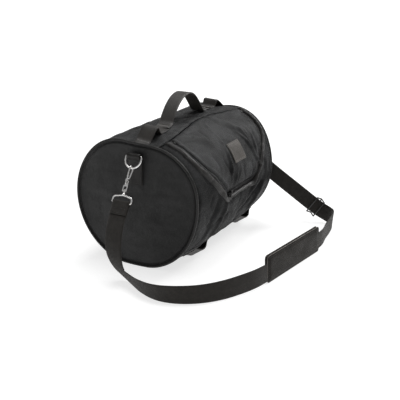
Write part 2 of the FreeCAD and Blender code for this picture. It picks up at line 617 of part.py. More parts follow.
def make_pad():
    """Shoulder pad: outer leather and inner padded leaf, with the webbing between them."""
    side = PAD_HEADING.cross(V(0, 0, 1))
    start = FLOOR_NEAR[-1] + PAD_HEADING * PAD_INSET
    gap = WEBBING / 2.0 + 0.8

    def leaf(offset, thick, z0, z1, inset):
        corner = start + PAD_HEADING * inset + side * offset
        length = PAD_HEADING * (PAD_LENGTH - 2 * inset)
        base = [corner, corner + length, corner + length + side * thick, corner + side * thick]
        outline = Part.makePolygon([V(p.x, p.y, z0) for p in base + base[:1]])
        solid = Part.Face(outline).extrude(V(0, 0, z1 - z0))
        upright = [e for e in solid.Edges if abs(e.tangentAt(e.FirstParameter).dot(side)) > 0.9]
        return solid.makeFillet(6.0, upright)

    keep("pad_outer", leaf(gap, PAD_OUTER_THICK, 0.0, PAD_HEIGHT, 0.0))
    keep("pad_inner", leaf(-gap - PAD_INNER_THICK, PAD_INNER_THICK, 0.0, PAD_HEIGHT, 0.0))
    rim = leaf(-gap, 2 * gap, WEBBING_WIDTH + 1.5, PAD_HEIGHT, 0.5)
    keep("pad_edge_seam", rim)


ADJUSTER_WIRE = 1.6
ADJUSTER_STEP = 10.0         # between its bars


def make_adjuster(foot, heading, rise):
    """Three-bar slide on the climbing run; its bars lie either side of the two layers."""
    run = rise[1] - rise[0]
    run.normalize()
    along = heading * run.x + V(0, 0, run.z)
    across = heading * -run.z + V(0, 0, run.x)
    side = heading.cross(V(0, 0, 1))
    start = V(foot.x, foot.y, 0) + V(0, 0, rise[0].z)
    centre = start + along * ADJUSTER_PLACE + side * (WEBBING / 2.0)
    half = WEBBING_WIDTH / 2.0 + 3.2
    reach = WEBBING + 2.4
    rows = [(-ADJUSTER_STEP, -reach), (0.0, reach), (ADJUSTER_STEP, -reach)]
    pieces = []
    for end in (-1, 1):
        knots = [centre + across * (half * end) + along * step + side * lift for step, lift in rows]
        sides = [Part.LineSegment(a, b).toShape() for a, b in zip(knots[:-1], knots[1:])]
        pieces += [rod([line], ADJUSTER_WIRE) for line in sides]
        pieces += [Part.makeSphere(ADJUSTER_WIRE, knot) for knot in knots]
    for step, lift in rows:
        middle = centre + along * step + side * lift
        bar = Part.LineSegment(middle - across * half, middle + across * half).toShape()
        pieces.append(rod([bar], ADJUSTER_WIRE))
    keep("strap_adjuster", pieces[0].multiFuse(pieces[1:]).removeSplitter())
    print("adjuster axis", [round(v, 4) for v in along])


def main():
    os.makedirs("parts", exist_ok=True)
    make_barrel()
    make_flap()
    make_slider()
    make_stops()
    make_loops()
    make_handle()
    for name, side in (("near", -1), ("far", 1)):
        make_ring(name, side)
        make_clip(name, side)
    foot, heading, rise = make_strap()
    make_pad()
    make_adjuster(foot, heading, rise)
    for name, shape in NODES.items():
        shape.exportStep("parts/" + name + ".step")
        bound = shape.BoundBox
        ends = (bound.XMin, bound.YMin, bound.ZMin, bound.XMax, bound.YMax, bound.ZMax)
        print(f"{name:20s} solids {len(shape.Solids)} volume {shape.Volume:10.0f} valid {shape.isValid()}",
              [round(v, 1) for v in ends])


main()
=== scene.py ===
# Barrel duffel bag: waxed canvas, zipped front flap, carry handle, webbing loops and shoulder strap.
# Lengths are millimetres here and become metres where a mesh or an object is made.
import json
import math
import bmesh
import bpy
import numpy as np
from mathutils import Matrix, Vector, noise


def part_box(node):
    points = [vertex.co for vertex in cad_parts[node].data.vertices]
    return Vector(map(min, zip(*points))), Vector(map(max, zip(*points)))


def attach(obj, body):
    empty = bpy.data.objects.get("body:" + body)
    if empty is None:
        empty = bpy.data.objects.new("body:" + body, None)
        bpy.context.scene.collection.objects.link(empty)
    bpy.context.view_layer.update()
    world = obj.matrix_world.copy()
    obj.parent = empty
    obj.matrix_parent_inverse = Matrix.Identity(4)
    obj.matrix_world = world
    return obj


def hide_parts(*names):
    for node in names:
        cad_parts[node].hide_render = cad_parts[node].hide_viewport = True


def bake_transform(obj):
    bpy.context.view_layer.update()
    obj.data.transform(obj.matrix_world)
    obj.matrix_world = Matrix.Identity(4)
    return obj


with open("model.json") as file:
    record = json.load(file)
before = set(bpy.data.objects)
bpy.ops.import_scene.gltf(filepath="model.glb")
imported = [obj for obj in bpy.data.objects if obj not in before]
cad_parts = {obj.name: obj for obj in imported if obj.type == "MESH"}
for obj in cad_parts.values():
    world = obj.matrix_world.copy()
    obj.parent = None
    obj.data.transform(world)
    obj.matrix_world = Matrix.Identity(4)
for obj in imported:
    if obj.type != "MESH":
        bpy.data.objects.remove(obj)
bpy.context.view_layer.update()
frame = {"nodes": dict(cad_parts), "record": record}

MM = 0.001
BODY_OF = {node: body for body, nodes in frame["record"]["behaviour"]["bodies"].items() for node in nodes}
SLOT_OF = {part["node"]: part["material_slot"] for part in frame["record"]["subparts"]}


def box_mm(node):
    low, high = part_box(node)
    return low / MM, high / MM


# ---- sizes, from the frame ----
_, END_HIGH = box_mm("far_end_panel")
HALF_LENGTH = END_HIGH.x
RADIUS = END_HIGH.y
AXIS = END_HIGH.z - RADIUS
HANDLE_LOW, HANDLE_HIGH = box_mm("carry_handle")
TOP_LINE_Y = (HANDLE_LOW.y + HANDLE_HIGH.y) / 2
TOP_LINE_DEG = math.degrees(math.asin(-TOP_LINE_Y / RADIUS))
LABEL_LOW, LABEL_HIGH = box_mm("label_patch")
LABEL_X = 14.0
LABEL_DEG = 59.8

# Angles run round the barrel from the top (0) to the front (90) and on to the bottom (180).
ARC = math.radians(1.0) * RADIUS        # length of one degree
SEAM_DEG = 25.0
FRONT_END_DEG = 130.0
BACK_START_DEG = 230.0
TOP_START_DEG = 290.0
FLAP_MID_DEG = 57.5
FLAP_CENTRE_X = 6.0
FLAP_TOP_HALF = 156.0
FLAP_HIP_HALF = 153.0
FLAP_HIP_U = -4.0
FLAP_BOTTOM_HALF = 64.0
HIP_FILLET = 60.0
TOE_FILLET = 15.0
U_EDGE = RADIUS * math.sin(math.radians(FLAP_MID_DEG - SEAM_DEG))
CANVAS = 1.6
CANVAS_EDGE = 3.7            # canvas stops this far from the zip's centre line
CLOTH = 0.8                  # lining
WEBBING_WIDTH = 38.0
WEBBING = 2.2
ENDS = ((-1, "near"), (1, "far"))
X_WAY, Y_WAY, Z_WAY = np.eye(3)


def put(name, data, way=None):
    """Object for some data, in the scene; a camera or a lamp looks along way."""
    obj = bpy.data.objects.new(name, data)
    bpy.context.scene.collection.objects.link(obj)
    if way:
        obj.rotation_euler = Vector(way).to_track_quat("-Z", "Y").to_euler()
    return obj


# ---- camera ----
def make_camera():
    data = bpy.data.cameras.new("camera")
    data.lens = 67.9
    data.sensor_width = 36.0
    data.clip_end = 60.0
    camera = put("camera", data, way=(0.833, 0.442, -0.333))
    camera.location = (-1.402, -0.7946, 0.6545)
    bpy.context.scene.camera = camera


make_camera()


# ---- node graphs ----
class Graph:
    """A material's node tree, written from the coordinates to the shader."""

    def __init__(self, name, **shader):
        self.material = bpy.data.materials.new(name)
        self.material.use_nodes = True
        self.tree = self.material.node_tree
        self.tree.nodes.clear()
        self.shader = self.add("ShaderNodeBsdfPrincipled")
        out = self.add("ShaderNodeOutputMaterial")
        self.tree.links.new(self.shader.outputs["BSDF"], out.inputs["Surface"])
        for socket, value in shader.items():
            self.shader.inputs[socket.replace("_", " ")].default_value = value
        self.place = self.add("ShaderNodeTexCoord").outputs["Object"]

    def add(self, kind, sockets=None, **settings):
        """Node with some settings, and with a constant or another node's output on each of sockets."""
        node = self.tree.nodes.new(kind)
        for key, value in settings.items():
            setattr(node, key, value)
        for key, value in (sockets or {}).items():
            self.feed(node.inputs[key], value)
        return node

    def feed(self, socket, value):
        if isinstance(value, bpy.types.NodeSocket):
            self.tree.links.new(value, socket)
        else:
            socket.default_value = value

    def math(self, operation, a, b=0.0):
        return self.add("ShaderNodeMath", {0: a, 1: b}, operation=operation).outputs[0]

    def noise(self, size, detail=3.0, roughness=0.55, stretch=(1, 1, 1), distortion=0.0):
        """Noise between 0 and 1 whose blotches are about size mm across."""
        mapping = self.add("ShaderNodeMapping", {"Vector": self.place, "Scale": stretch})
        sockets = {"Vector": mapping.outputs[0], "Scale": 1.0 / (size * MM), "Detail": detail,
                   "Roughness": roughness, "Distortion": distortion}
        return self.add("ShaderNodeTexNoise", sockets).outputs[0]

    def cells(self, size):
        """Distance from the edges between cells about size mm across."""
        sockets = {"Vector": self.place, "Scale": 1.0 / (size * MM), "Randomness": 1.0}
        return self.add("ShaderNodeTexVoronoi", sockets, feature="DISTANCE_TO_EDGE").outputs["Distance"]

    def cloth(self, axis):
        """Place along one direction of the cloth, in mm."""
        uv = self.add("ShaderNodeUVMap", uv_map="cloth")
        split = self.add("ShaderNodeSeparateXYZ", {0: uv.outputs[0]})
        return self.math("MULTIPLY", split.outputs[axis], 1.0 / MM)

    def wave(self, value, period):
        return self.math("SINE", self.math("MULTIPLY", value, 2 * math.pi / period))

    def range(self, value, low, high, to_low=0.0, to_high=1.0):
        sockets = dict(enumerate((value, low, high, to_low, to_high)))
        return self.add("ShaderNodeMapRange", sockets).outputs[0]

    def mix(self, factor, a, b):
        a, b = (c if isinstance(c, bpy.types.NodeSocket) else (*c, 1.0) for c in (a, b))
        return self.add("ShaderNodeMix", {0: factor, 6: a, 7: b}, data_type="RGBA").outputs[2]

    def bump(self, *heights):
        """Bumps in mm, each a (height, strength) pair, on top of each other."""
        normal = None
        for height, depth in heights:
            sockets = {"Strength": 1.0, "Distance": depth * MM, "Height": height}
            if normal:
                sockets["Normal"] = normal
            normal = self.add("ShaderNodeBump", sockets).outputs[0]
        self.feed(self.shader.inputs["Normal"], normal)

    def finish(self, colour, roughness):
        self.feed(self.shader.inputs["Base Color"], colour)
        self.feed(self.shader.inputs["Roughness"], roughness)
        return self.material


def tone(value, warm=0.0):
    """Dark grey of a given strength, pushed towards brown by warm or towards blue if it is negative."""
    return (value * (1 + warm), value, value * (1 - warm))


def plain_weave(graph, period):
    over = graph.wave(graph.cloth(0), period)
    under = graph.wave(graph.cloth(1), period)
    return graph.math("MULTIPLY", over, under)


def waxed_canvas(name, dark, light, weave=0.9, shine=0.2):
    graph = Graph(name, Specular_IOR_Level=shine, Sheen_Weight=shine / 4, Sheen_Roughness=0.4)
    clouds = graph.noise(70.0, detail=4.0, roughness=0.6, distortion=0.6)
    scuffs = graph.noise(14.0, detail=5.0, roughness=0.7, stretch=(1.0, 1.6, 1.6))
    wax = graph.range(graph.math("ADD", clouds, graph.math("MULTIPLY", scuffs, 0.5)), 0.58, 1.0)
    threads = plain_weave(graph, weave)
    colour = graph.mix(wax, dark, light)
    colour = graph.mix(graph.range(threads, -1.0, 1.0, 0.0, 0.25), colour, tone(0.0))
    graph.bump((scuffs, 0.9), (graph.noise(3.0, detail=2.0), 0.25), (threads, 0.08))
    return graph.finish(colour, graph.range(wax, 0.0, 1.0, 0.56, 0.42))


def webbing_material(name, base, warm=0.12):
    graph = Graph(name, Specular_IOR_Level=0.25, Sheen_Weight=0.1, Sheen_Roughness=0.5)
    along, across = graph.cloth(1), graph.cloth(0)
    slant = graph.math("MULTIPLY", graph.math("ABSOLUTE", across), 0.7)
    herringbone = graph.wave(graph.math("ADD", along, slant), 2.2)
    ribs = graph.wave(across, 1.5)
    height = graph.math("ADD", herringbone, graph.math("MULTIPLY", ribs, 0.6))
    fuzz = graph.noise(9.0, detail=4.0, roughness=0.65)
    colour = graph.mix(graph.range(fuzz, 0.3, 0.75), tone(base * 0.75, warm), tone(base * 1.35, warm))
    # Darker in the weave's grooves, where the bump is low: painted shade.
    colour = graph.mix(graph.range(height, -1.6, 1.6, 0.45, 0.0), colour, tone(0.0))
    graph.bump((height, 0.22), (graph.noise(1.2, detail=2.0), 0.12))
    return graph.finish(colour, graph.range(fuzz, 0.0, 1.0, 0.78, 0.62))


def leather_material(name, dark, light, warm=0.1, gloss=0.36, grain=0.8, shine=0.26):
    graph = Graph(name, Specular_IOR_Level=shine)
    clouds = graph.noise(30.0, detail=4.0, roughness=0.6)
    pores = graph.cells(grain)
    colour = graph.mix(graph.range(clouds, 0.3, 0.72), tone(dark, warm), tone(light, warm))
    # Darker in the grain's crevices, where the bump is low: painted shade.
    colour = graph.mix(graph.range(pores, 0.0, 0.12, 0.4, 0.0), colour, tone(0.0))
    graph.bump((clouds, 0.3), (graph.range(pores, 0.0, 0.16), 0.07), (graph.noise(0.7), 0.04))
    return graph.finish(colour, graph.range(clouds, 0.25, 0.75, gloss + 0.1, gloss - 0.06))


def metal_material(name, base, roughness, wear=0.06):
    graph = Graph(name, Metallic=1.0)
    brushed = graph.noise(2.0, detail=4.0, stretch=(1.0, 1.0, 5.0))
    smudge = graph.noise(12.0, detail=3.0)
    colour = graph.mix(graph.range(smudge, 0.35, 0.7), tone(base), tone(base * 0.86, 0.03))
    graph.bump((brushed, 0.02))
    return graph.finish(colour, graph.range(smudge, 0.3, 0.7, roughness, roughness + wear))


def thread_material(name, colour):
    graph = Graph(name, Specular_IOR_Level=0.3, Sheen_Weight=0.1)
    twist = graph.noise(0.6, detail=2.0)
    graph.bump((twist, 0.1))
    return graph.finish(graph.mix(twist, tone(colour * 0.7, 0.05), tone(colour, 0.05)), 0.6)


def plastic_material(name, colour, roughness):
    graph = Graph(name, Specular_IOR_Level=0.5)
    dust = graph.noise(4.0, detail=4.0)
    graph.bump((graph.noise(0.8), 0.03))
    return graph.finish(graph.mix(dust, tone(colour * 0.7), tone(colour * 1.4)),
                        graph.range(dust, 0.3, 0.7, roughness, roughness + 0.12))


MATERIALS = {
    # One waxed canvas in three tones: the first is the lit copy, and the next two are darker copies, painted
    # shade on the lower body and on the round ends.
    "canvas": waxed_canvas("waxed_canvas", tone(0.0055, -0.03), tone(0.034, -0.02), shine=0.13),
    "shaded_low_canvas": waxed_canvas("waxed_canvas_low_painted_shade", tone(0.0035, -0.02), tone(0.024, -0.02), shine=0.06),
    "end_canvas": waxed_canvas("waxed_canvas_end_painted_shade", tone(0.0045, 0.0), tone(0.016, 0.0), shine=0.3),
    "lining": waxed_canvas("lining_cloth", tone(0.05, 0.02), tone(0.075, 0.02), weave=0.6),
    "guard": leather_material("guard_leather", 0.008, 0.018, gloss=0.38),
    "piping": leather_material("piping_leather", 0.008, 0.018, warm=0.04, gloss=0.33, grain=0.7),
    "webbing": webbing_material("webbing", 0.015, warm=0.2),
    "handle": leather_material("handle_leather", 0.024, 0.040, shine=0.4),
    "loop": leather_material("loop_leather", 0.020, 0.034),
    "pad": leather_material("pad_leather", 0.008, 0.015, warm=0.2, gloss=0.42, grain=1.1, shine=0.1),
    "tab": leather_material("tab_leather", 0.005, 0.010, warm=0.12, gloss=0.42, grain=1.1),
    # Near-black cord for the seams: painted shade for each seam's groove.
    "seam_shade_cord": leather_material("seam_shade_cord", 0.0008, 0.002, warm=0.0, gloss=0.7, grain=1.1, shine=0.0),
    "cut_edge": leather_material("cut_edge_leather", 0.07, 0.13, warm=0.12, gloss=0.4, grain=0.5),
    "label": leather_material("label_leather", 0.05, 0.08, warm=0.12, gloss=0.5, grain=0.7),
    "tape": webbing_material("zip_tape", 0.010, warm=0.0),
    "teeth": plastic_material("zip_coil", 0.012, 0.3),
    "nickel": metal_material("polished_nickel", 0.82, 0.16),
    "black_metal": metal_material("black_nickel", 0.07, 0.3),
    "thread": thread_material("dark_thread", 0.035),
    "pale_thread": thread_material("pale_thread", 0.32),
}


# ---- meshes ----
def make_mesh(name, points, faces, coords, material, sharp=50.0):
    """Closed mesh from points in mm; coords is each face corner's place in the cloth, in mm."""
    mesh = bpy.data.meshes.new(name)
    mesh.from_pydata((np.asarray(points, float) * MM).tolist(), [], faces)
    layer = mesh.uv_layers.new(name="cloth")
    layer.data.foreach_set("uv", (np.asarray(coords, float) * MM).ravel())
    shape = bmesh.new()
    shape.from_mesh(mesh)
    bmesh.ops.recalc_face_normals(shape, faces=shape.faces)
    shape.to_mesh(mesh)
    shape.free()
    mesh.shade_smooth()
    mesh.set_sharp_from_angle(angle=math.radians(sharp))
    mesh.materials.append(MATERIALS[material])
    return put(name, mesh)


def sheet_mesh(name, outer, inner, coords, material, keep=None):
    """Cloth with two faces and edges, from two rows x columns arrays of points."""
    rows, cols = outer.shape[:2]
    quads = []
    for i in range(rows - 1):
        for j in range(cols - 1):
            if keep is None or keep[i, j]:
                a = i * cols + j
                quads.append([a, a + cols, a + cols + 1, a + 1])
    used = sorted({v for quad in quads for v in quad})
    place = {v: i for i, v in enumerate(used)}
    quads = [[place[v] for v in quad] for quad in quads]
    count = len(used)
    directed = {(a, b) for quad in quads for a, b in zip(quad, quad[1:] + quad[:1])}
    sides = [[b, a, a + count, b + count] for a, b in sorted(directed) if (b, a) not in directed]
    faces = quads + [[v + count for v in reversed(quad)] for quad in quads] + sides
    points = np.concatenate([outer.reshape(-1, 3)[used], inner.reshape(-1, 3)[used]])
    flat = np.tile(coords.reshape(-1, 2)[used], (2, 1))
    return make_mesh(name, points, faces, flat[[v for face in faces for v in face]], material)


def sweep_mesh(name, rings, across, along, material, closed=False, flat=None, sharp=50.0):
    """Tube from rings of points. across and along hold one cloth coordinate more than columns and rows;
    flat gives each point its own instead."""
    rows, cols = rings.shape[:2]
    faces, coords = [], []
    for i in range(rows if closed else rows - 1):
        for j in range(cols):
            quad = ((i, j), (i + 1, j), (i + 1, j + 1), (i, j + 1))
            faces.append([(a % rows) * cols + b % cols for a, b in quad])
            if flat is None:
                coords += [(across[b], along[a]) for a, b in quad]
    if not closed:
        for row in (0, rows - 1):
            faces.append([row * cols + j for j in range(cols)])
            if flat is None:
                coords += [(across[j], along[row]) for j in range(cols)]
    if flat is not None:
        places = np.asarray(flat, float).reshape(-1, 2)
        coords = [places[v] for face in faces for v in face]
    return make_mesh(name, rings.reshape(-1, 3), faces, coords, material, sharp)


def stands_for(obj, *nodes):
    """Put a piece on the body of the first CAD node it replaces, and hide the nodes it replaces."""
    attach(obj, BODY_OF[nodes[0]])
    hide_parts(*nodes)
    return obj


def joins(obj, body):
    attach(obj, body)
    return obj


def unit(vectors):
    vectors = np.asarray(vectors, float)
    return vectors / np.linalg.norm(vectors, axis=-1, keepdims=True)


def lengths(points):
    """Distance along a line of points, starting at 0."""
    steps = np.linalg.norm(np.diff(points, axis=0), axis=1)
    return np.concatenate([[0.0], np.cumsum(steps)])


def along(values, reach, at):
    """Values at some distances along a line, from those at its points, which lie at reach."""
    return np.stack([np.interp(at, reach, column) for column in values.T], axis=1)


def resample(points, pitch):
    """Points at an even pitch along a line."""
    points = np.asarray(points, float)
    reach = lengths(points)
    count = max(2, int(round(reach[-1] / pitch)) + 1)
    return along(points, reach, np.linspace(0.0, reach[-1], count))


FINE = (0.7, 1.6, 3.0, 5.0)


def stations(start, end, step, fine=FINE):
    """Places from start to end about step apart, closer together at both ends."""
    low, high = start + fine[-1], end - fine[-1]
    middle = np.linspace(low, high, max(2, int(math.ceil((high - low) / step)) + 1))
    head = [start] + [start + f for f in fine[:-1]]
    return np.array(head + middle.tolist() + [end + start - h for h in reversed(head)])


def spline_lines(*controls, resolution=10):
    """NURBS splines through lists of control points, as arrays of points."""
    curve = bpy.data.curves.new("route", "CURVE")
    curve.dimensions = "3D"
    curve.resolution_u = resolution
    for points in controls:
        spline = curve.splines.new("NURBS")
        spline.points.add(len(points) - 1)
        for knot, point in zip(spline.points, points):
            knot.co = (*[float(c) for c in point], 1.0)
        spline.order_u = 3
        spline.use_endpoint_u = True
    obj = put("route", curve)
    mesh = bpy.data.meshes.new_from_object(obj)
    points = np.array([v.co for v in mesh.vertices], float)
    bpy.data.objects.remove(obj)
    bpy.data.meshes.remove(mesh)
    bpy.data.curves.remove(curve)
    return np.split(points, len(controls))


# ---- webbing ----
EDGE_COLUMNS = (1.0, 0.92, 0.74, 0.3)      # columns across half a ribbon, as a share of its half width


def ribbon_frame(centre, width_way):
    tangent = unit(np.gradient(centre, axis=0))
    across = np.broadcast_to(np.asarray(width_way, float), centre.shape)
    across = unit(across - tangent * np.sum(across * tangent, axis=1, keepdims=True))
    return across, np.cross(tangent, across)


def ribbon(name, centre, width_way, width, thickness, material, offset=0.0):
    """Flat strap along a line: width_way points across it, offset moves it off the line to one side."""
    across, normal = ribbon_frame(centre, width_way)
    half, deep = width / 2.0, thickness / 2.0
    share = [-s for s in EDGE_COLUMNS] + list(reversed(EDGE_COLUMNS))
    depth = [deep * (0.45 if abs(s) > 0.95 else 1.0) for s in share]
    columns = [(s * half, d) for s, d in zip(share, depth)]
    columns += [(s * half, -d) for s, d in zip(reversed(share), reversed(depth))]
    rings = np.stack([centre + across * w + normal * (d + offset) for w, d in columns], axis=1)
    places = [w for w, _ in columns] + [columns[0][0]]
    return sweep_mesh(name, rings, places, lengths(centre), material)


def beads(name, place, ahead, up, length, radius, material):
    """Small spindles in one mesh: stitches, or the coils of a zip."""
    side = np.cross(ahead, up)
    verts, faces = [], []
    for p, u, t, s in zip(place, up, ahead, side):
        base = len(verts)
        verts.append(p - t * length / 2 - u * radius * 0.6)
        for step in (-0.3, 0.3):
            for a in range(5):
                turn = 2 * math.pi * a / 5
                verts.append(p + t * length * step + (s * math.cos(turn) + u * math.sin(turn)) * radius)
        verts.append(p + t * length / 2 - u * radius * 0.6)
        for a in range(5):
            b = (a + 1) % 5
            faces.append([base, base + 1 + b, base + 1 + a])
            faces.append([base + 1 + a, base + 1 + b, base + 6 + b, base + 6 + a])
            faces.append([base + 11, base + 6 + a, base + 6 + b])
    corners = sum(len(face) for face in faces)
    return make_mesh(name, verts, faces, np.zeros((corners, 2)), material, sharp=80.0)


def stitches(name, points, normals, material="thread", pitch=3.6, length=2.5, radius=0.3):
    """A line of stitches lying on a surface."""
    reach = lengths(points)
    count = max(1, int(reach[-1] / pitch))
    at = (np.arange(count) + 0.5) * reach[-1] / count
    ahead = unit(along(points, reach, at + 0.5) - along(points, reach, at - 0.5) + 1e-9)
    up = unit(along(normals, reach, at))
    return beads(name, along(points, reach, at), ahead, up, length, radius, material)


def round_rings(points, a, b, radius, count):
    """Circles round each point of a line, in the plane of the directions a and b."""
    turns = np.arange(count) * 2 * math.pi / count
    return np.stack([points + (a * math.cos(t) + b * math.sin(t)) * radius for t in turns], axis=1)


def sewn(name, points, normal, body, slot, **thread):
    """Stitches on a flat piece, all facing the same way."""
    joins(stitches(name, points, np.broadcast_to(normal, points.shape), **thread), body)


def edge_bead(name, points, radius, material="cut_edge"):
    """Thin painted edge or cord: a round bead along a line."""
    ahead = unit(np.gradient(points, axis=0))
    side = unit(np.cross(ahead, np.broadcast_to((0.31, 0.22, 0.92), ahead.shape)))
    rings = round_rings(points, side, np.cross(side, ahead), radius, 6)
    return sweep_mesh(name, rings, np.arange(7) * radius, lengths(points), material)


# ---- shoulder strap: two lengths of webbing that meet inside the pad ----
# Each row is a point of the route and the way the webbing's lower edge faces there.
NEAR_ROUTE = [
    ((-262.1, -8, 136.8), (0, 1, 0)),
    ((-271, -8, 122), (0, 1, 0)),
    ((-278.5, -8, 103), (0, 1, 0)),
    ((-282, -8, 81), (0.02, 1, 0)),
    ((-282, -9.5, 58), (0.12, 0.97, -0.1)),
    ((-277.5, -14, 35), (0.4, 0.78, -0.45)),
    ((-272.5, -26, 19), (0.62, 0.42, -0.64)),
    ((-283, -46, 17), (0.57, 0.2, -0.8)),
    ((-303, -80, 17.5), (0.4, 0.04, -0.92)),
    ((-314, -120, 18.5), (0.24, 0, -0.97)),
    ((-305, -160, 19), (0.06, 0, -1)),
    ((-281, -199, 19), (0, -0.06, -1)),
    ((-246, -230, 19.5), (-0.03, -0.14, -0.99)),
    ((-206, -253, 21), (0, -0.18, -0.98)),
    ((-167, -272.3, 23.5), (0, -0.1, -1)),
    ((-100, -283.2, 24), (0, 0, -1)),
    ((-38.7, -293.1, 24), (0, 0, -1)),
]
FAR_ROUTE = [
    ((-38.7, -293.1, 24), (0, 0, -1)),
    ((22, -302.9, 24), (0, 0, -1)),
    ((81.7, -312.6, 24), (0, 0, -1)),
    ((126, -303, 22), (0, 0, -1)),
    ((180, -298, 19.5), (0, 0, -1)),
    ((220, -291, 19.5), (0, 0.1, -1)),
    ((236.5, -274, 20.5), (0, 0.35, -0.93)),
    ((237, -246, 31.5), (-0.06, 0.56, -0.82)),
    ((229, -187, 72.5), (-0.06, 0.56, -0.82)),
    ((220.7, -127.7, 113.6), (-0.03, 0.62, -0.78)),
    ((217.4, -104, 133.6), (0, 0.7, -0.71)),
    ((215.1, -87.5, 151), (0, 0.73, -0.69)),
]


def strap_line(route):
    middle = [Vector(point) for point, _ in route]
    edge = [Vector(point) + Vector(way).normalized() * WEBBING_WIDTH / 2 for point, way in route]
    centre, side = spline_lines(middle, edge)
    return centre, side - centre


def make_length(name, node, centre, way, width=WEBBING_WIDTH, thick=WEBBING, offset=0.0):
    """One length of webbing, in place of its CAD node."""
    piece = ribbon(name, centre, way, width, thick, "webbing", offset)
    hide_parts(node)
    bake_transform(piece)
    return piece


def make_strap():
    centre, way = strap_line(NEAR_ROUTE)
    near = make_length("strap_near_webbing", "strap_near", centre, way)
    centre, way = strap_line(FAR_ROUTE)
    far = make_length("strap_far_webbing", "strap_far", centre, way)
    low, _ = box_mm("strap_return")
    climb = [i for i, p in enumerate(centre) if p[1] > low.y + 10.0]
    make_length("strap_return_webbing", "strap_return", centre[climb], way[climb],
                WEBBING_WIDTH - 1.0, WEBBING - 0.4, -WEBBING - 0.1)


make_strap()


# ---- the bag's skin ----
GROUND = 1.0                 # the base lies flat at this height
GROUND_BEND = 6.0            # how softly the round turns into it
FIELD_STEP = 2.0
FIELD_X = np.arange(-HALF_LENGTH, HALF_LENGTH + FIELD_STEP, FIELD_STEP)
FIELD_DEG = np.arange(0.0, 361.0, 1.0)

# Ridges and valleys in the canvas: start and end as (x, degrees), height and half width.
FOLDS = [
    ((58, 46), (103, 80.5), 2.5, 2.8), ((74, 44), (104, 78), 1.8, 2.4),
    ((-8, 34), (-36, 74), 1.8, 2.6), ((112, 46), (99, 74), 1.8, 2.6),
    ((139, 66), (108, 79), 2, 2.6), ((88, 52), (101, 74), -0.8, 5),
    ((124, 54), (107, 74), -0.8, 5), ((-26, 55), (-40, 81), 1.6, 2.4),
    ((-15, 63), (-32, 82), -0.7, 3.2), ((-2, 66), (-22, 83), 1.6, 2.2),
    ((15, 70), (-14, 84), 1.5, 2.2), ((118, 90), (24, 110), 2.6, 10),
    ((112, 98), (30, 117), -3.5, 9), ((150, 84), (96, 122), 3.5, 9),
    ((-96, 84), (-128, 118), -2.6, 10), ((-60, 96), (-84, 124), 2.4, 9),
    ((-120, 28), (-60, 44), 2.6, 9), ((-70, 30), (10, 40), -2, 10),
    ((30, 30), (88, 48), 3, 9), ((-40, 4), (-6, 18), 2.4, 6),
    ((-34, -4), (6, 8), -2.4, 6), ((88, 2), (60, 20), 1.8, 6),
]
FOLD_DEPTH = 1.9


def bell(value, centre, spread):
    return np.exp(-(((value - centre) / spread) ** 2))


def wrapped(deg, centre):
    """Angle from centre, between -180 and 180."""
    return (np.asarray(deg, float) - centre + 180.0) % 360.0 - 180.0


def round_bell(deg, centre, spread):
    return bell(wrapped(deg, centre), 0, spread)


def ridge(x, deg, start, end, height, half_width):
    """Fold along a line on the skin that fades out at its ends."""
    ax, ay = start[0], start[1] * ARC
    dx, dy = end[0] - ax, end[1] * ARC - ay
    px, py = x - ax, wrapped(deg, 0.0) * ARC - ay
    share = (px * dx + py * dy) / (dx * dx + dy * dy)
    near = np.clip(share, 0.0, 1.0)
    away = np.hypot(px - near * dx, py - near * dy)
    fade = 0.35 + 0.65 * np.sin(np.pi * (near * 0.8 + 0.1))
    return height * bell(away, 0, half_width) * fade


def to_deg(u):
    return FLAP_MID_DEG + np.degrees(np.arcsin(np.clip(np.asarray(u, float) / RADIUS, -1, 1)))


def to_u(deg):
    return RADIUS * np.sin(np.radians(np.asarray(deg, float) - FLAP_MID_DEG))


# Height, angle and spread in degrees of each swelling. Those at the rims add the end's side and how far
# they reach along the barrel.
SWELLS = ((11.0, 62.0, 38), (2.0, -95.0, 40), (6.0, 134.0, 24), (-1.4, -18.0, 22), (-4.0, 5.0, 17))
RIM_SWELLS = ((-15.5, 4.0, 24, -1, 42), (7.5, 66.0, 24, -1, 70), (-13.0, 0.0, 18, 1, 42),
              (6.0, 44.0, 22, 1, 60))


def fullness(x, deg):
    """How far the filled canvas swells past the round between the two ends; the top sags a little."""
    swell = 1.0
    for height, middle, spread in SWELLS:
        swell = swell + height * round_bell(deg, middle, spread)
    return (1.0 - np.abs(x / HALF_LENGTH) ** 3) * swell


def rim_shape(x, deg):
    """The rims aren't round: their tops are pulled down by the loops, and their fronts are pushed out."""
    return sum(height * round_bell(deg, middle, spread) * bell(x, side * HALF_LENGTH, reach)
               for height, middle, spread, side, reach in RIM_SWELLS)


def make_field():
    """Creases and folds of the canvas, as a height over x and angle."""
    x, deg = np.meshgrid(FIELD_X, FIELD_DEG, indexing="ij")
    height = np.zeros_like(x)
    for start, end, rise, half_width in FOLDS:
        height += ridge(x, deg, start, end, FOLD_DEPTH * rise, half_width)
    for i, along in enumerate(FIELD_X):
        for j, angle in enumerate(FIELD_DEG):
            a = math.radians(angle)
            spot = Vector((along, RADIUS * math.sin(a), RADIUS * math.cos(a)))
            soft = noise.noise(spot / 62.0) * 2.6 + noise.noise(spot / 27.0 + Vector((9, 4, 2))) * 1.1
            crease = (1.0 - abs(noise.noise(spot / 44.0 + Vector((3, 8, 5))))) ** 10
            height[i, j] += soft - 2.2 * crease
    # The label's leather keeps the canvas behind it smooth.
    patch = np.clip((31.0 - np.abs(x - LABEL_X)) / 7.0, 0, 1)
    patch = patch * np.clip((11.0 - np.abs(deg - LABEL_DEG)) / 3.5, 0, 1)
    return height * (1.0 - np.abs(x / HALF_LENGTH) ** 8) * (1.0 - 0.85 * patch)


FIELD = make_field()


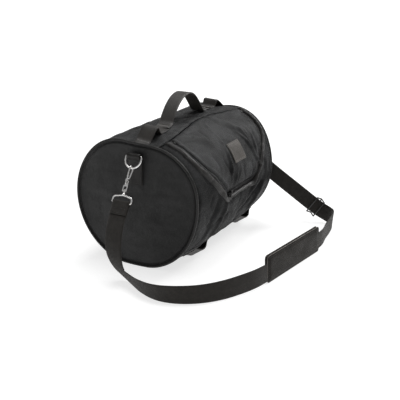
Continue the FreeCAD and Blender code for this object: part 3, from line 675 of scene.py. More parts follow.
def creases(x, deg):
    """Height of the creases at any place, from the field."""
    fx = np.clip((x + HALF_LENGTH) / FIELD_STEP, 0, len(FIELD_X) - 1.001)
    fd = np.clip(np.asarray(deg, float) % 360.0, 0, 359.999)
    i, j = fx.astype(int), fd.astype(int)
    s, t = fx - i, fd - j
    return ((FIELD[i, j] * (1 - s) + FIELD[i + 1, j] * s) * (1 - t)
            + (FIELD[i, j + 1] * (1 - s) + FIELD[i + 1, j + 1] * s) * t)


def seam_grooves(x, deg):
    """Sewn seams sink into the skin; the canvas puffs up a little beside them."""
    rim = HALF_LENGTH - np.abs(x)
    depth = np.zeros(np.broadcast(x, deg).shape)
    for line in (SEAM_DEG, FRONT_END_DEG, BACK_START_DEG, TOP_START_DEG):
        away = wrapped(deg, line) * ARC
        depth += -3.2 * bell(away, 0, 2.2) + 0.9 * bell(np.abs(away), 8.0, 5.0)
    return depth * (1.0 - bell(rim, 0, 9.0)) - 2.6 * bell(rim, 0, 3.0) + 0.8 * bell(rim, 10.0, 6.0)


def zip_bed(x, deg):
    """1 along the zip's bottom run, where the skin lies at the barrel's own radius, and 0 away from it."""
    past = np.abs(x - FLAP_CENTRE_X) - FLAP_BOTTOM_HALF - 4.0
    arc = wrapped(deg, to_deg(U_EDGE)) * ARC
    return bell(arc, 0, 13.0) / (1.0 + np.exp(np.clip(past / 5.0, -30, 30)))


def seam_rise(x, deg):
    """How far back the weight of the top pulls the canvas at the flap's seam, in degrees."""
    middle = np.cos(np.clip((x - 20.0) / 175.0, -1, 1) * math.pi / 2) ** 2
    close = np.cos(np.clip(wrapped(deg, SEAM_DEG) / 22.0, -1, 1) * math.pi / 2) ** 2
    return 8.0 * middle * close


def skin(x, deg, lift=0.0):
    """Points on the filled bag: x along the barrel, deg round it, lift outwards from the canvas."""
    x, deg, lift = (a.astype(float) for a in np.broadcast_arrays(x, deg, lift))
    soft = (fullness(x, deg) + rim_shape(x, deg) + creases(x, deg)) * (1.0 - zip_bed(x, deg))
    radius = RADIUS + soft + seam_grooves(x, deg)
    a = np.radians(deg - seam_rise(x, deg))
    y, z = -radius * np.sin(a), AXIS + radius * np.cos(a)
    z = 0.5 * (z + GROUND + np.sqrt((z - GROUND) ** 2 + GROUND_BEND ** 2))
    y, z = y - lift * np.sin(a), z + lift * np.cos(a)
    return np.stack([x, y, np.maximum(z, 0.3)], axis=-1)


def cloth_place(x, deg):
    return np.stack(np.broadcast_arrays(x, np.asarray(deg, float) * ARC), axis=-1)


def skin_up(x, deg):
    """Outward direction on the skin, for things that lie on it."""
    return unit(skin(x, deg, 1.0) - skin(x, deg, 0.0) + 1e-9)


# ---- zip line ----
def rounded(corners, fillets, step=1.0):
    """Outline of straight runs with rounded corners, as points about step apart."""
    points = [np.array(corners[0], float)]
    for before, corner, after, fillet in zip(corners, corners[1:], corners[2:], fillets):
        corner = np.array(corner, float)
        back, on = unit(np.array(before) - corner), unit(np.array(after) - corner)
        half = math.acos(np.clip(np.dot(back, on), -1, 1)) / 2.0
        middle = corner + unit(back + on) * fillet / math.sin(half)
        first, last = corner + back * fillet / math.tan(half), corner + on * fillet / math.tan(half)
        a0, a1 = (math.atan2(*(p - middle)[::-1]) for p in (first, last))
        sweep = (a1 - a0 + math.pi) % (2 * math.pi) - math.pi
        for t in np.linspace(0.0, 1.0, 24):
            angle = a0 + sweep * t
            points.append(middle + fillet * np.array([math.cos(angle), math.sin(angle)]))
    points.append(np.array(corners[-1], float))
    return resample(points, step)


ZIP_LINE = rounded(
    [(FLAP_CENTRE_X + side * half, u) for side, half, u in
     ((-1, FLAP_TOP_HALF, -U_EDGE), (-1, FLAP_HIP_HALF, FLAP_HIP_U), (-1, FLAP_BOTTOM_HALF, U_EDGE),
      (1, FLAP_BOTTOM_HALF, U_EDGE), (1, FLAP_HIP_HALF, FLAP_HIP_U), (1, FLAP_TOP_HALF, -U_EDGE))],
    [HIP_FILLET, TOE_FILLET, TOE_FILLET, HIP_FILLET])
ZIP_AHEAD = unit(np.gradient(ZIP_LINE, axis=0))
ZIP_OUT = np.stack([-ZIP_AHEAD[:, 1], ZIP_AHEAD[:, 0]], axis=1)
ZIP_REACH = lengths(ZIP_LINE)
BOTTOM_RUN = np.nonzero(np.abs(ZIP_LINE[:, 1] - U_EDGE) < 0.01)[0]
TOE_NEAR, TOE_FAR = ZIP_REACH[BOTTOM_RUN[0]], ZIP_REACH[BOTTOM_RUN[-1]]


def beside_zip(offset):
    """The zip's centre line moved away from the flap by offset."""
    return ZIP_LINE + ZIP_OUT * np.asarray(offset, float).reshape(-1, 1)


def zip_sides(u, offset):
    """x of the line beside the zip at a height u, on the near and the far side."""
    line = beside_zip(offset)
    middle = (BOTTOM_RUN[0] + BOTTOM_RUN[-1]) // 2
    near, far = line[:middle], line[middle:][::-1]
    return np.interp(u, near[:, 1], near[:, 0]), np.interp(u, far[:, 1], far[:, 0])


def off_zip(x, u):
    """Distance from the zip's centre line, positive outside the flap."""
    flat = np.stack([np.ravel(x), np.ravel(u)], axis=1)
    result = np.empty(len(flat))
    for start in range(0, len(flat), 4000):
        gap = flat[start:start + 4000, None, :] - ZIP_LINE[None, :, :]
        nearest = np.argmin(np.sum(gap ** 2, axis=2), axis=1)
        rows = np.arange(len(nearest))
        side = np.sum(gap[rows, nearest] * ZIP_OUT[nearest], axis=1)
        result[start:start + 4000] = np.sign(side) * np.linalg.norm(gap[rows, nearest], axis=1)
    return result.reshape(np.shape(x))


def zip_lift(x, u):
    """Canvas beside the zip: its folded edge dips to the tape and a soft lip stands up behind it."""
    away = np.abs(off_zip(x, u)) - CANVAS_EDGE
    pucker = 0.35 * np.sin(x / 3.1) * np.sin(u / 3.7)
    return -2.4 * bell(away, 0, 1.3) + (1.5 + pucker) * bell(away, 6.0, 4.0)


# ---- barrel panels ----
SEAM_GAP = 0.25              # degrees from a seam's middle to each panel
RIM_X = HALF_LENGTH - 1.0
GRID_STEP = 3.4
LINING_STEP = 7.0


def skin_panel(name, x, deg, lift, material, keep=None, thickness=CANVAS):
    """Canvas panel on the skin, from arrays of x, angle and lift."""
    outer, inner = skin(x, deg, lift), skin(x, deg, lift - thickness)
    return sheet_mesh(name, outer, inner, cloth_place(x, deg), material, keep)


def arc_stations(deg0, deg1, step=GRID_STEP, fine=FINE):
    return stations(deg0 * ARC, deg1 * ARC, step, fine) / ARC


def make_barrel():
    length = stations(-RIM_X, RIM_X, GRID_STEP)
    spans = {"top_panel": (TOP_START_DEG - 360.0, SEAM_DEG), "back_panel": (BACK_START_DEG, TOP_START_DEG),
             "bottom_panel": (FRONT_END_DEG, BACK_START_DEG)}
    for node, (first, last) in spans.items():
        x, deg = np.meshgrid(length, arc_stations(first + SEAM_GAP, last - SEAM_GAP))
        # The bottom panel takes the darker copy of the canvas: painted shade.
        look = "shaded_low_canvas" if node == "bottom_panel" else "canvas"
        stands_for(skin_panel(node + "_canvas", x, deg, 0.0, look), node)
    make_front()


def make_front():
    """Front panel with its opening: columns left of the flap, under it and right of it."""
    toe_deg = float(to_deg(U_EDGE + CANVAS_EDGE))
    fine = (0.7, 1.6, 3.0, 4.5, 6.0, 7.5, 9.0, 11.0, 13.0)
    upper = arc_stations(SEAM_DEG + SEAM_GAP, toe_deg, fine=fine)
    lower = arc_stations(toe_deg, FRONT_END_DEG - SEAM_GAP)
    rows = np.concatenate([upper, lower[1:]])
    near, far = zip_sides(np.minimum(to_u(rows), U_EDGE + CANVAS_EDGE - 0.01), CANVAS_EDGE)
    toe_near, toe_far = near[len(upper) - 1], far[len(upper) - 1]
    left_share = (stations(-RIM_X, toe_near, GRID_STEP) + RIM_X) / (toe_near + RIM_X)
    under = stations(toe_near, toe_far, GRID_STEP)
    right_share = 1.0 - left_share[::-1]
    columns = []
    for row, (a, b) in enumerate(zip(near, far)):
        left = -RIM_X + (a + RIM_X) * left_share
        right = b + (RIM_X - b) * right_share
        columns.append(np.concatenate([left, under[1:-1], right]))
    x = np.array(columns)
    deg = np.repeat(rows[:, None], x.shape[1], axis=1)
    keep = np.ones(x.shape, bool)
    keep[:len(upper) - 1, len(left_share) - 1:len(left_share) + len(under) - 2] = False
    lift = zip_lift(x, to_u(deg))
    # The front panel takes the darker copy of the canvas: painted shade.
    stands_for(skin_panel("front_panel_canvas", x, deg, lift, "shaded_low_canvas", keep), "front_panel")


make_barrel()


def bends_with_flap(obj, slot, *nodes):
    """A piece of the flap that starts at the seam; it hides the nodes it replaces and is baked in place."""
    if nodes:
        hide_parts(*nodes)
    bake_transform(obj)
    return obj


def flap_grid(offset, step=GRID_STEP):
    """x and angle over the flap, up to a line beside the zip."""
    last = float(to_deg(U_EDGE - offset))
    fine = (0.5, 1.2, 2.2, 3.4, 4.8, 6.4, 8.2, 10.5, 13.0)
    rows = arc_stations(SEAM_DEG + SEAM_GAP, last, step, fine)
    near, far = zip_sides(np.minimum(to_u(rows), U_EDGE - offset - 0.01), -offset)
    share = (stations(-FLAP_TOP_HALF, FLAP_TOP_HALF, step) + FLAP_TOP_HALF) / (2 * FLAP_TOP_HALF)
    return near[:, None] + (far - near)[:, None] * share, np.repeat(rows[:, None], len(share), axis=1)


def make_flap():
    x, deg = flap_grid(CANVAS_EDGE)
    panel = skin_panel("flap_canvas", x, deg, zip_lift(x, to_u(deg)), "canvas")
    bends_with_flap(panel, "canvas", "flap_panel")
    x, deg = flap_grid(CANVAS_EDGE + 3.0, step=6.0)
    lining = skin_panel("flap_lining_cloth", x, deg, -CANVAS - 1.4, "lining", thickness=CLOTH)
    bends_with_flap(lining, "lining", "flap_lining")


make_flap()


# ---- lining ----
def make_lining():
    depth = -CANVAS - 2.0
    rim = HALF_LENGTH - 3.0
    opening = CANVAS_EDGE + 6.0

    def piece(name, x, deg, lift=depth):
        return skin_panel(name, x, deg, lift, "lining", thickness=CLOTH)

    x, deg = np.meshgrid(stations(-rim, rim, LINING_STEP),
                         arc_stations(FRONT_END_DEG, 360.0 + SEAM_DEG, LINING_STEP))
    stands_for(piece("barrel_lining_cloth", x, deg), "barrel_lining")
    rows = arc_stations(SEAM_DEG, FRONT_END_DEG, LINING_STEP)
    near, far = zip_sides(np.minimum(to_u(rows), U_EDGE + opening - 0.01), opening)
    share = np.linspace(0.0, 1.0, 9)
    left = -rim + (near + rim)[:, None] * share
    right = far[:, None] + (rim - far)[:, None] * share
    for name, x in (("near", left), ("far", right)):
        deg = np.broadcast_to(rows[:, None], x.shape)
        joins(piece("front_lining_" + name, x, deg), "bag")
    below = rows[to_u(rows) > U_EDGE + opening - 6.0]
    x, deg = np.meshgrid(np.linspace(near[-1] - 2.0, far[-1] + 2.0, 20), below)
    joins(piece("front_lining_below", x, deg, depth - 1.0), "bag")


make_lining()


# ---- zip ----
HALVES = ((1, "body"), (-1, "flap"))
COIL_PITCH = 2.4
COIL_LENGTH = 4.2
COIL_RADIUS = 0.85
GUARD_EDGE = CANVAS_EDGE + 0.5          # the guard's inner edge, from the zip's centre line
GUARD_CROWN = 2.8
STITCH_INSET = 2.6           # from an edge to its line of stitches
THREAD_LIFT = 0.15           # of a stitch over the canvas


def on_zip(offset, lift):
    """Line on the skin beside the zip."""
    line = beside_zip(offset)
    return skin(line[:, 0], to_deg(line[:, 1]), lift)


def zip_strip(name, offsets, lifts, under, material):
    """Strip that follows the zip: its top from offsets and lifts, its underside at the lift under."""
    top = [on_zip(o, l) for o, l in zip(offsets, lifts)]
    base = [on_zip(o, u) for o, u in zip(offsets[::-1], under[::-1])]
    rings = np.stack(top + base, axis=1)
    places = [float(np.mean(o)) for o in offsets]
    places = places + places[::-1] + places[:1]
    return sweep_mesh(name, rings, places, ZIP_REACH, material)


def put_half(obj, node):
    """The zip's body half stays with the bag; its other half is baked in place with the flap's pieces."""
    if node.endswith("body"):
        stands_for(obj, node)
    else:
        bends_with_flap(obj, SLOT_OF[node], node)


def make_zip():
    tape = [0.5, 3.0, 4.4, 11.0]
    depths = [-2.3, -2.3, -3.6, -4.0]
    under = [d - 0.6 for d in depths]
    count = int(ZIP_REACH[-1] / COIL_PITCH)
    for sign, name in HALVES:
        strip = zip_strip(f"zip_tape_{name}_weave", [sign * o for o in tape], depths, under, "tape")
        put_half(strip, "zip_tape_" + name)
    for sign, name in HALVES:
        at = (np.arange(count) + (0.5 if sign > 0 else 1.0)) * ZIP_REACH[-1] / (count + 1)
        first, last = (along(on_zip(sign * offset, -0.9), ZIP_REACH, at) for offset in (-0.3, 3.3))
        up = unit(along(on_zip(sign * 1.5, 1.0) - on_zip(sign * 1.5, 0.0), ZIP_REACH, at))
        turns = beads(f"zip_coil_{name}_turns", (first + last) / 2, unit(last - first), up,
                      COIL_LENGTH, COIL_RADIUS, "teeth")
        put_half(turns, "zip_coil_" + name)


def guard_width():
    """Width of the leather guard along the zip: wide beside the flap, narrow under it."""
    reach = [0.0, TOE_NEAR - 55, TOE_NEAR - 10, TOE_NEAR + 8, TOE_FAR - 14, TOE_FAR + 14, ZIP_REACH[-1]]
    return np.interp(ZIP_REACH, reach, [12.0, 14.0, 9.0, 5.0, 5.0, 10.0, 12.0])


def zip_stitches(name, offset, lift):
    """Stitches on the canvas beside the zip."""
    line = beside_zip(offset)
    x, deg = line[:, 0], to_deg(line[:, 1])
    return stitches(name, skin(x, deg, zip_lift(x, line[:, 1]) + lift), skin_up(x, deg))


def make_guard():
    width = guard_width()
    shares = [0.0, 0.03, 0.1, 0.22, 0.4, 0.6, 0.8, 0.93, 1.0]
    offsets = [GUARD_EDGE + width * s for s in shares]
    lifts, under = [], []
    for share, offset in zip(shares, offsets):
        line = beside_zip(offset)
        canvas = zip_lift(line[:, 0], line[:, 1])
        crown = 0.5 + GUARD_CROWN * math.sin(math.pi * min(1.0, 0.08 + 0.92 * share)) ** 0.6
        lifts.append(canvas + crown * (0.25 if share in (0.0, 1.0) else 1.0))
        under.append(canvas - 0.5)
    stands_for(zip_strip("zip_guard_leather", offsets, lifts, under, "guard"), "zip_guard")
    for name, offset in (("inner", CANVAS_EDGE + 3.0), ("outer", GUARD_EDGE + width - STITCH_INSET)):
        joins(zip_stitches("guard_stitching_" + name, offset, 2.4), "bag")


def radius_on_skin(points):
    """Move points of the barrel's own round shape out to the filled skin."""
    y, z = points[:, 1], points[:, 2] - AXIS
    deg = np.degrees(np.arctan2(-y, z))
    rise = np.linalg.norm((skin(points[:, 0], deg) - (0, 0, AXIS))[:, 1:], axis=1) - RADIUS
    way = np.stack([np.zeros_like(y), y, z], axis=1) / np.hypot(y, z)[:, None]
    return points + way * rise[:, None]


def make_end_stops():
    """Metal stops at both ends of the zip, lying on the filled canvas."""
    source = frame["nodes"]["zip_end_stops"]
    mesh = source.data.copy()
    points = np.array([v.co for v in mesh.vertices]) / MM
    mesh.vertices.foreach_set("co", (radius_on_skin(points) * MM).ravel())
    mesh.materials.clear()
    mesh.materials.append(MATERIALS["black_metal"])
    stands_for(put("zip_end_stops_raised", mesh), "zip_end_stops")


make_zip()
make_guard()
bends_with_flap(zip_stitches("flap_edge_stitching", -CANVAS_EDGE - STITCH_INSET, THREAD_LIFT), "canvas")
make_end_stops()


# ---- seams ----
SEAMS = (("top_front", SEAM_DEG, -1), ("front_bottom", FRONT_END_DEG, -1),
         ("back_bottom", BACK_START_DEG, 1), ("back_top", TOP_START_DEG, 1))
SEAM_ALLOWANCE = 5.0


def make_seams():
    x = np.arange(-HALF_LENGTH + 4.0, HALF_LENGTH - 3.0, 3.0)
    for name, deg, side in SEAMS:
        line = np.full_like(x, deg + side * SEAM_ALLOWANCE / ARC)
        thread = stitches("seam_stitching_" + name, skin(x, line, THREAD_LIFT), skin_up(x, line))
        joins(thread, "bag")
    # A near-black cord on each seam stands for the shade in its groove: painted shade.
    for name, deg, _ in SEAMS:
        joins(edge_bead("seam_shade_cord_" + name, skin(x, deg, 0.3), 1.0, "seam_shade_cord"), "bag")


make_seams()


# ---- round ends and their piping ----
SPOKES = 180
PIPING_RADIUS = 2.6
DISC_SHARES = [0.004] + list(np.linspace(0.04, 0.92, 27)) + [0.942, 0.96, 0.974, 0.985, 0.993, 1.0]
LINING_SHARES = [0.004, 0.5, 0.97]


def rim_line(side, lift):
    return skin(side * RIM_X, np.arange(SPOKES) * 360.0 / SPOKES, lift)


def disc_relief(side, y, z, share):
    """How far the canvas of a round end stands out: a faint dome with soft waves and a few level creases."""
    relief = np.empty_like(y)
    for index in np.ndindex(y.shape):
        spot = Vector((side * 300.0, y[index], z[index]))
        level = noise.noise(Vector((spot.x, spot.y / 75.0, spot.z / 15.0)))
        soft = noise.noise(spot / 70.0) * 1.5 + level * 0.9
        relief[index] = soft + noise.noise(spot / 24.0) * 0.35
    edge = 1.0 - share ** 6
    return (2.0 * (1.0 - share ** 2) + relief) * edge - 2.6 * bell(share, 0.978, 0.013) - 0.4


def end_rings(side, shares):
    """y and z of rings inside the rim, and each point's share of the rim's size."""
    rim = rim_line(side, -0.4)
    share = np.array(shares)[:, None]
    y, z = rim[:, 1] * share, AXIS + (rim[:, 2] - AXIS) * share
    return y, z, np.broadcast_to(share, y.shape)


def end_mesh(name, x, y, z, depth, material, node):
    """Round sheet from its outer rings; its cloth lies flat in the barrel's cross section."""
    outer = np.stack([np.broadcast_to(x, y.shape), y, z], axis=-1)
    rings = np.concatenate([outer, outer[::-1] - (depth, 0, 0)])
    stands_for(sweep_mesh(name, rings, None, None, material, flat=rings[..., 1:]), node)


def make_round_end(side, name):
    end = name + "_end_"
    y, z, share = end_rings(side, DISC_SHARES)
    x = side * (HALF_LENGTH + disc_relief(side, y, z, share))
    # The round ends take a darker copy of the barrel's canvas: painted shade.
    end_mesh(end + "canvas", x, y, z, side * CANVAS, "end_canvas", end + "panel")
    y, z, _ = end_rings(side, LINING_SHARES)
    end_mesh(end + "lining_cloth", side * (HALF_LENGTH - 3.6), y, z, side * CLOTH, "lining", end + "lining")


def make_piping(side, name):
    rim = rim_line(side, 1.6)
    out = unit(np.stack([np.zeros(SPOKES), rim[:, 1], rim[:, 2] - AXIS], axis=1))
    rings = round_rings(rim + (side * 0.5, 0, 0), out, X_WAY * side, PIPING_RADIUS, 12)
    rings[..., 2] = np.maximum(rings[..., 2], 0.1)
    reach = np.concatenate([lengths(rim), [2 * math.pi * RADIUS]])
    pipe = sweep_mesh(name + "_piping_cord", rings, np.arange(13) * 1.2, reach, "piping", closed=True)
    stands_for(pipe, name + "_piping")


for end_side, end_name in ENDS:
    make_round_end(end_side, end_name)
    make_piping(end_side, end_name)


# ---- leather strips on the bag ----
PALE_TACK = dict(length=4.6, radius=0.42, material="pale_thread")
TACK_PITCH = 1.3
LOOP_STITCH = 3.2
LOOP_INSET = 3.2


def on_top(x, deg, lift):
    """Point over the skin at one x, for a strap that is sewn down there."""
    return skin([x], deg, lift)[0]


def skin_strap(name, profile, deg, width, thickness, node):
    """Leather strap along the barrel: profile gives x and its height over the skin."""
    line, = spline_lines([on_top(x, deg, lift) for x, lift in profile], resolution=8)
    a = math.radians(deg)
    way = np.array([0.0, -math.cos(a), -math.sin(a)])
    up = np.array([0.0, -math.sin(a), math.cos(a)])
    stands_for(ribbon(name, line, way, width, thickness, "loop"), node)
    for edge, side in ((-1, "upper"), (1, "lower")):
        row = line + way * edge * (width / 2 - LOOP_INSET) + up * (thickness / 2 + 0.1)
        sewn(f"{name}_stitching_{side}", row, up, "bag", "leather", pitch=LOOP_STITCH)
    return way, up


def bar_tack(name, centre, way, up, width):
    """Close zigzag of pale thread across a strap's foot."""
    count = int(width / TACK_PITCH)
    across = (np.arange(count) - (count - 1) / 2) * TACK_PITCH
    lean = np.where(np.arange(count) % 2 == 0, 0.5, -0.5)[:, None]
    ahead = unit(np.cross(way, up) + way * lean)
    place = centre + way * across[:, None]
    joins(beads(name, place, ahead, np.broadcast_to(up, place.shape), **PALE_TACK), "bag")


TOP_LOOPS = {
    "near": [(-186.0, 1.4), (-180.0, 1.6), (-174.0, 4.0), (-168.0, 11.5), (-160.5, 19.0), (-153.5, 23.0),
             (-149.5, 21.2), (-144.0, 11.5), (-139.0, 3.7), (-132.0, 1.4), (-118.0, 1.4), (-106.0, 1.4)],
    "far": [(186.0, 1.4), (180.0, 1.6), (168.0, 4.4), (154.0, 11.0), (142.0, 15.5), (134.5, 17.0),
            (130.0, 16.0), (126.5, 9.5), (123.5, 3.0), (119.0, 1.4), (114.0, 1.4), (106.0, 1.4)]}
LOOP_LEAN = {"near": 4.5, "far": 0.0}      # degrees in front of the line over the top
LOOP_THICK = 2.8
TOP_LOOP_WIDTH = 33.0
BOTTOM_LOOP_WIDTH = 34.0
TACK_LIFT = 3.1
BOTTOM_LOOP_DEG = 145.0
BOTTOM_LOOP = [(-36.0, 1.4), (-27.0, 1.4), (-19.0, 5.0), (-9.0, 10.4), (0.0, 11.0), (9.0, 10.4), (19.0, 5.0),
               (27.0, 1.4), (36.0, 1.4)]


def make_loops():
    for side, name in ENDS:
        loop = name + "_top_loop"
        deg = TOP_LINE_DEG + LOOP_LEAN[name]
        way, up = skin_strap(loop + "_strap", TOP_LOOPS[name], deg, TOP_LOOP_WIDTH, LOOP_THICK, loop)
        for tack, x in (("_tack", 178.0), ("_inner_tack", 112.0)):
            bar_tack(loop + tack, on_top(side * x, deg, TACK_LIFT), way, up, 28.0)
        loop = name + "_bottom_loop"
        low, high = box_mm(loop)
        middle = (low.x + high.x) / 2
        profile = [(middle + x, lift) for x, lift in BOTTOM_LOOP]
        way, up = skin_strap(loop + "_strap", profile, BOTTOM_LOOP_DEG, BOTTOM_LOOP_WIDTH, LOOP_THICK, loop)
        for end, tack in ENDS:
            foot = on_top(middle + end * 31.0, BOTTOM_LOOP_DEG, TACK_LIFT)
            bar_tack(f"{loop}_tack_{tack}", foot, way, up, 26.0)


make_loops()


# ---- carry handle ----
HANDLE_WIDTH = 32.0
HANDLE_THICK = 3.4
HANDLE_ARCH = [(-72.0, 280.5), (-63.0, 294.0), (-46.0, 313.0), (-24.0, 327.5), (2.0, 333.5), (25.0, 327.0),
               (43.0, 311.0), (60.0, 291.0), (68.0, 281.0)]


def make_handle():
    near = [on_top(x, TOP_LINE_DEG + lean, 1.7) for x, lean in ((-108.0, 4.5), (-98.0, 3.6), (-84.0, 1.6))]
    far = [on_top(x, TOP_LINE_DEG, 1.7) for x in (76.0, 86.0, 94.0)]
    arch = [Vector((x, TOP_LINE_Y, z)) for x, z in HANDLE_ARCH]
    line, = spline_lines(near + arch + far, resolution=10)
    across, normal = ribbon_frame(line, Y_WAY)
    handle = ribbon("carry_handle_strap", line, Y_WAY, HANDLE_WIDTH, HANDLE_THICK, "handle")
    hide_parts("carry_handle", "near_handle_foot", "far_handle_foot")
    pieces = [handle]
    for edge, side in ((-1, "front"), (1, "back")):
        row = line + across * edge * (HANDLE_WIDTH / 2 - 3.0) - normal * (HANDLE_THICK / 2 + 0.1)
        pieces.append(stitches("carry_handle_stitching_" + side, row, -normal))
    for piece in pieces:
        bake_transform(piece)
    for name, x, lean in (("near", -98.0, 3.6), ("far", 86.0, 0.0)):
        bar_tack(name + "_handle_tack", on_top(x, TOP_LINE_DEG + lean, 3.5), Y_WAY, Z_WAY, 24.0)


make_handle()


# ---- ring tabs: leather folded round the D-rings' bars ----
TAB_PROFILE = [(189.8, 180.0), (189.8, 208.0), (190.0, 226.0), (190.4, 238.0), (193.2, 244.2),
               (198.0, 245.6), (202.0, 241.6), (200.2, 236.2), (195.6, 232.4), (192.9, 226.0),
               (192.5, 208.0), (192.5, 180.0)]
TAB_WIDTH = 30.0
TAB_THICK = 2.0


def make_ring_tab(side, name):
    line, = spline_lines([(side * x, TOP_LINE_Y, z) for x, z in TAB_PROFILE], resolution=8)
    tab = name + "_ring_tab"
    stands_for(ribbon(tab + "_leather", line, Y_WAY, TAB_WIDTH, TAB_THICK, "tab"), tab)
    frame_line = [(-11.5, 226.0), (-11.5, 183.0), (11.5, 183.0), (11.5, 226.0)]
    rows = resample([(side * 193.7, TOP_LINE_Y + y, z) for y, z in frame_line], 1.0)
    sewn(tab + "_stitching", rows, X_WAY * side, "bag", "leather", pitch=LOOP_STITCH)


for end_side, end_name in ENDS:
    make_ring_tab(end_side, end_name)


# ---- webbing folds: the strap's ends, turned round the swivel loops ----
FOLD_PROFILE = [(1.4, -99.5), (1.4, -88.0), (1.5, -79.0), (2.4, -74.5), (3.2, -70.5), (0.0, -67.4),
                (-3.2, -70.5), (-2.4, -74.5), (-1.5, -79.0), (-1.4, -88.0), (-1.4, -96.5)]
CLIP_FRAMES = {
    "near": ((-207.1, -8.0, 218.3), (-0.559, 0.0, -0.829), (0.829, 0.0, -0.559)),
    "far": ((205.19, -20.04, 222.44), (0.1005, -0.6832, -0.7233), (-0.995, -0.069, -0.073)),
}


def make_webbing_fold(name):
    start, down, lean = (Vector(v) for v in CLIP_FRAMES[name])
    way = lean.cross(down)
    line, = spline_lines([start - down * z + lean * x for x, z in FOLD_PROFILE], resolution=8)
    fold = ribbon(name + "_fold_webbing", line, way, WEBBING_WIDTH, WEBBING, "webbing")
    stands_for(fold, name + "_webbing_fold")
    for level in (84, 93):
        for face, side in ((-1, "out"), (1, "in")):
            spot = start + down * level + lean * face * 2.7
            row = np.array([spot + way * w for w in (-15.0, 0.0, 15.0)])
            sewn(f"{name}_fold_stitching_{level}_{side}", row, np.array(lean) * face,
                 BODY_OF[name + "_webbing_fold"], "webbing", pitch=2.6, length=2.0)


for _, end_name in ENDS:
    make_webbing_fold(end_name)


# ---- shoulder pad ----
PAD_HEADING = np.array([0.987, -0.160, 0.0])
PAD_OUT = np.array([-0.160, -0.987, 0.0])
PAD_LEAN = 0.045             # the pad leans in towards the bag
PAD_ROUND = 7.0
PAD_SEAM = 4.2               # from its edge to its stitches
PAD_HALF = 103.5             # half its length
PAD_GAP = 1.3                # from the webbing's middle to each leaf


def pad_frame():
    corners = [np.array(box_mm(node)) for node in ("pad_outer", "pad_inner")]
    low, high = np.minimum(*(c[0] for c in corners)), np.maximum(*(c[1] for c in corners))
    return (low + high) / 2, (high[2] - low[2]) / 2


PAD_CENTRE, PAD_TALL = pad_frame()


def on_pad(s, v, out):
    """Point s along the pad and v up it from its middle, and out from it."""
    s, v = np.asarray(s)[..., None], np.asarray(v)[..., None]
    out = np.asarray(out)[..., None] if np.ndim(out) else out
    return PAD_CENTRE + PAD_HEADING * s + Z_WAY * v + PAD_OUT * (out - PAD_LEAN * (v + PAD_TALL))


def pad_outline(inset, fillet, step=1.0):
    tall, long = PAD_TALL - inset, PAD_HALF - inset
    return rounded([(0, -tall), (long, -tall), (long, tall), (-long, tall), (-long, -tall), (0, -tall)],
                   [fillet] * 4, step)


def make_pad():
    fine = (0.4, 0.9, 1.6, 2.6, 4.0, 6.0)
    rows = stations(-PAD_TALL, PAD_TALL, 2.6, fine)
    past = np.maximum(np.abs(rows) - (PAD_TALL - PAD_ROUND), 0.0)
    reach = PAD_HALF - PAD_ROUND + np.sqrt(np.maximum(PAD_ROUND ** 2 - past ** 2, 0.0))
    s = reach[:, None] * stations(-PAD_HALF, PAD_HALF, 4.0, fine) / PAD_HALF
    v = np.broadcast_to(rows[:, None], s.shape)
    edge = np.minimum(reach[:, None] - np.abs(s), PAD_TALL - np.abs(v))
    soft = np.array([[noise.noise(Vector((a / 38.0, b / 20.0, 4.0))) for a, b in zip(*row)]
                     for row in zip(s, v)])
    crown = 1.6 + 2.6 * (1.0 - np.exp(-edge / 5.0)) - 1.1 * np.exp(-edge / 0.7)
    crown -= 0.9 * bell(edge, PAD_SEAM, 1.1)
    crown += 0.5 * soft * (1.0 - np.exp(-edge / 8.0))
    for node, face in (("pad_outer", 1), ("pad_inner", -1)):
        piece = sheet_mesh(node + "_leather", on_pad(s, v, face * (PAD_GAP + crown)),
                           on_pad(s, v, face * PAD_GAP), np.stack([s, v], axis=-1), "pad")
        stands_for(piece, node)
        path = pad_outline(PAD_SEAM, PAD_ROUND - 2.0)
        sewn(node + "_stitching", on_pad(*path.T, face * (PAD_GAP + 2.5)), PAD_OUT * face,
             BODY_OF[node], "leather")
        brink = on_pad(*pad_outline(0.0, PAD_ROUND, step=2.0).T, face * (PAD_GAP + 1.3))
        brink[:, 2] = np.maximum(brink[:, 2], 1.0)
        joins(edge_bead(node + "_edge", brink, 0.8), BODY_OF[node])
    path = pad_outline(1.2, PAD_ROUND - 1.2)
    inward = unit(np.stack([-np.gradient(path[:, 1]), np.gradient(path[:, 0])], axis=1))
    corners = [on_pad(*(path + inward * depth).T, out)
               for depth, out in ((0.0, -PAD_GAP), (0.0, PAD_GAP), (5.0, PAD_GAP), (5.0, -PAD_GAP))]
    seam = sweep_mesh("pad_edge_filling", np.stack(corners, axis=1), np.arange(5.0), lengths(path), "piping")
    stands_for(seam, "pad_edge_seam")


make_pad()


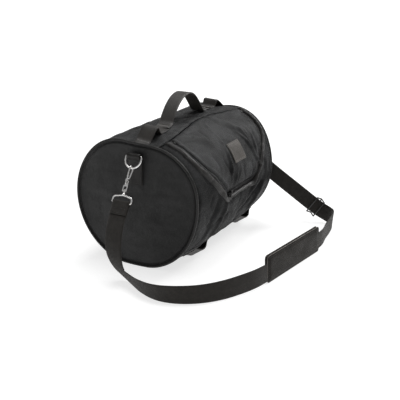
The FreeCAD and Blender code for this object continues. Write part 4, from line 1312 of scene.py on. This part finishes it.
# ---- label ----
def make_label():
    top, bottom = (math.atan2(-c.y, c.z - AXIS) * RADIUS for c in (LABEL_HIGH, LABEL_LOW))
    near, far = LABEL_LOW.x, LABEL_HIGH.x

    def outline(inset):
        a, b, c, d = near + inset, far - inset, top + inset, bottom - inset
        x, arc = resample([(a, c), (b, c), (b, d), (a, d), (a, c)], 1.0).T
        return x, arc / ARC

    fine = (0.4, 0.9, 1.6, 2.6)
    x, arc = np.meshgrid(stations(near, far, 2.5, fine), stations(top, bottom, 2.5, fine))
    edge = np.minimum(np.minimum(x - near, far - x), np.minimum(arc - top, bottom - arc))
    lift = 1.5 - 0.7 * np.exp(-edge / 0.6) - 0.35 * bell(edge, STITCH_INSET, 0.8)
    stands_for(skin_panel("label_patch_leather", x, arc / ARC, lift, "label", thickness=1.9), "label_patch")
    x, deg = outline(STITCH_INSET)
    thread = stitches("label_stitching", skin(x, deg, 1.35), skin_up(x, deg), "pale_thread", 3.0, 2.0, 0.26)
    joins(thread, "flap")
    joins(edge_bead("label_edge", skin(*outline(0.0), 0.9), 0.6), "flap")


make_label()


# ---- metal and small fittings kept from the frame ----
NICKEL = ["d_ring", "hook", "hook_gate", "gate_pin", "gate_spring", "swivel_loop"]


def finish_fittings():
    looks = {f"{end}_{node}": "nickel" for end in ("near", "far") for node in NICKEL}
    looks |= {"strap_adjuster": "black_metal", "zip_slider": "black_metal", "zip_pull": "tab"}
    for node, look in looks.items():
        for place in frame["nodes"][node].material_slots:
            place.material = MATERIALS[look]


finish_fittings()


# ---- lights and floor ----
WHITE = (1.0, 1.0, 1.0, 1.0)


def make_studio():
    world = bpy.data.worlds.new("studio")
    world.use_nodes = True
    world.node_tree.nodes["Background"].inputs["Color"].default_value = WHITE
    world.node_tree.nodes["Background"].inputs["Strength"].default_value = 0.38
    bpy.context.scene.world = world
    bpy.context.scene.view_settings.view_transform = "Standard"
    bpy.ops.mesh.primitive_plane_add(size=40.0, location=(0, 0, 0))
    floor = bpy.context.object
    floor.name = "floor"
    graph = Graph("pale_floor", Specular_IOR_Level=0.1, Emission_Color=WHITE, Emission_Strength=0.7)
    floor.data.materials.append(graph.finish((0.45, 0.45, 0.45, 1.0), 0.9))
    for name, energy, angle, way in (("overhead", 1.7, 30.0, (-0.25, -0.1, -1.0)),
                                     ("window", 1.9, 20.0, (-0.8, 0.3, -0.6))):
        data = bpy.data.lights.new(name, "SUN")
        data.energy = energy
        data.angle = math.radians(angle)
        put(name, data, way)


make_studio()
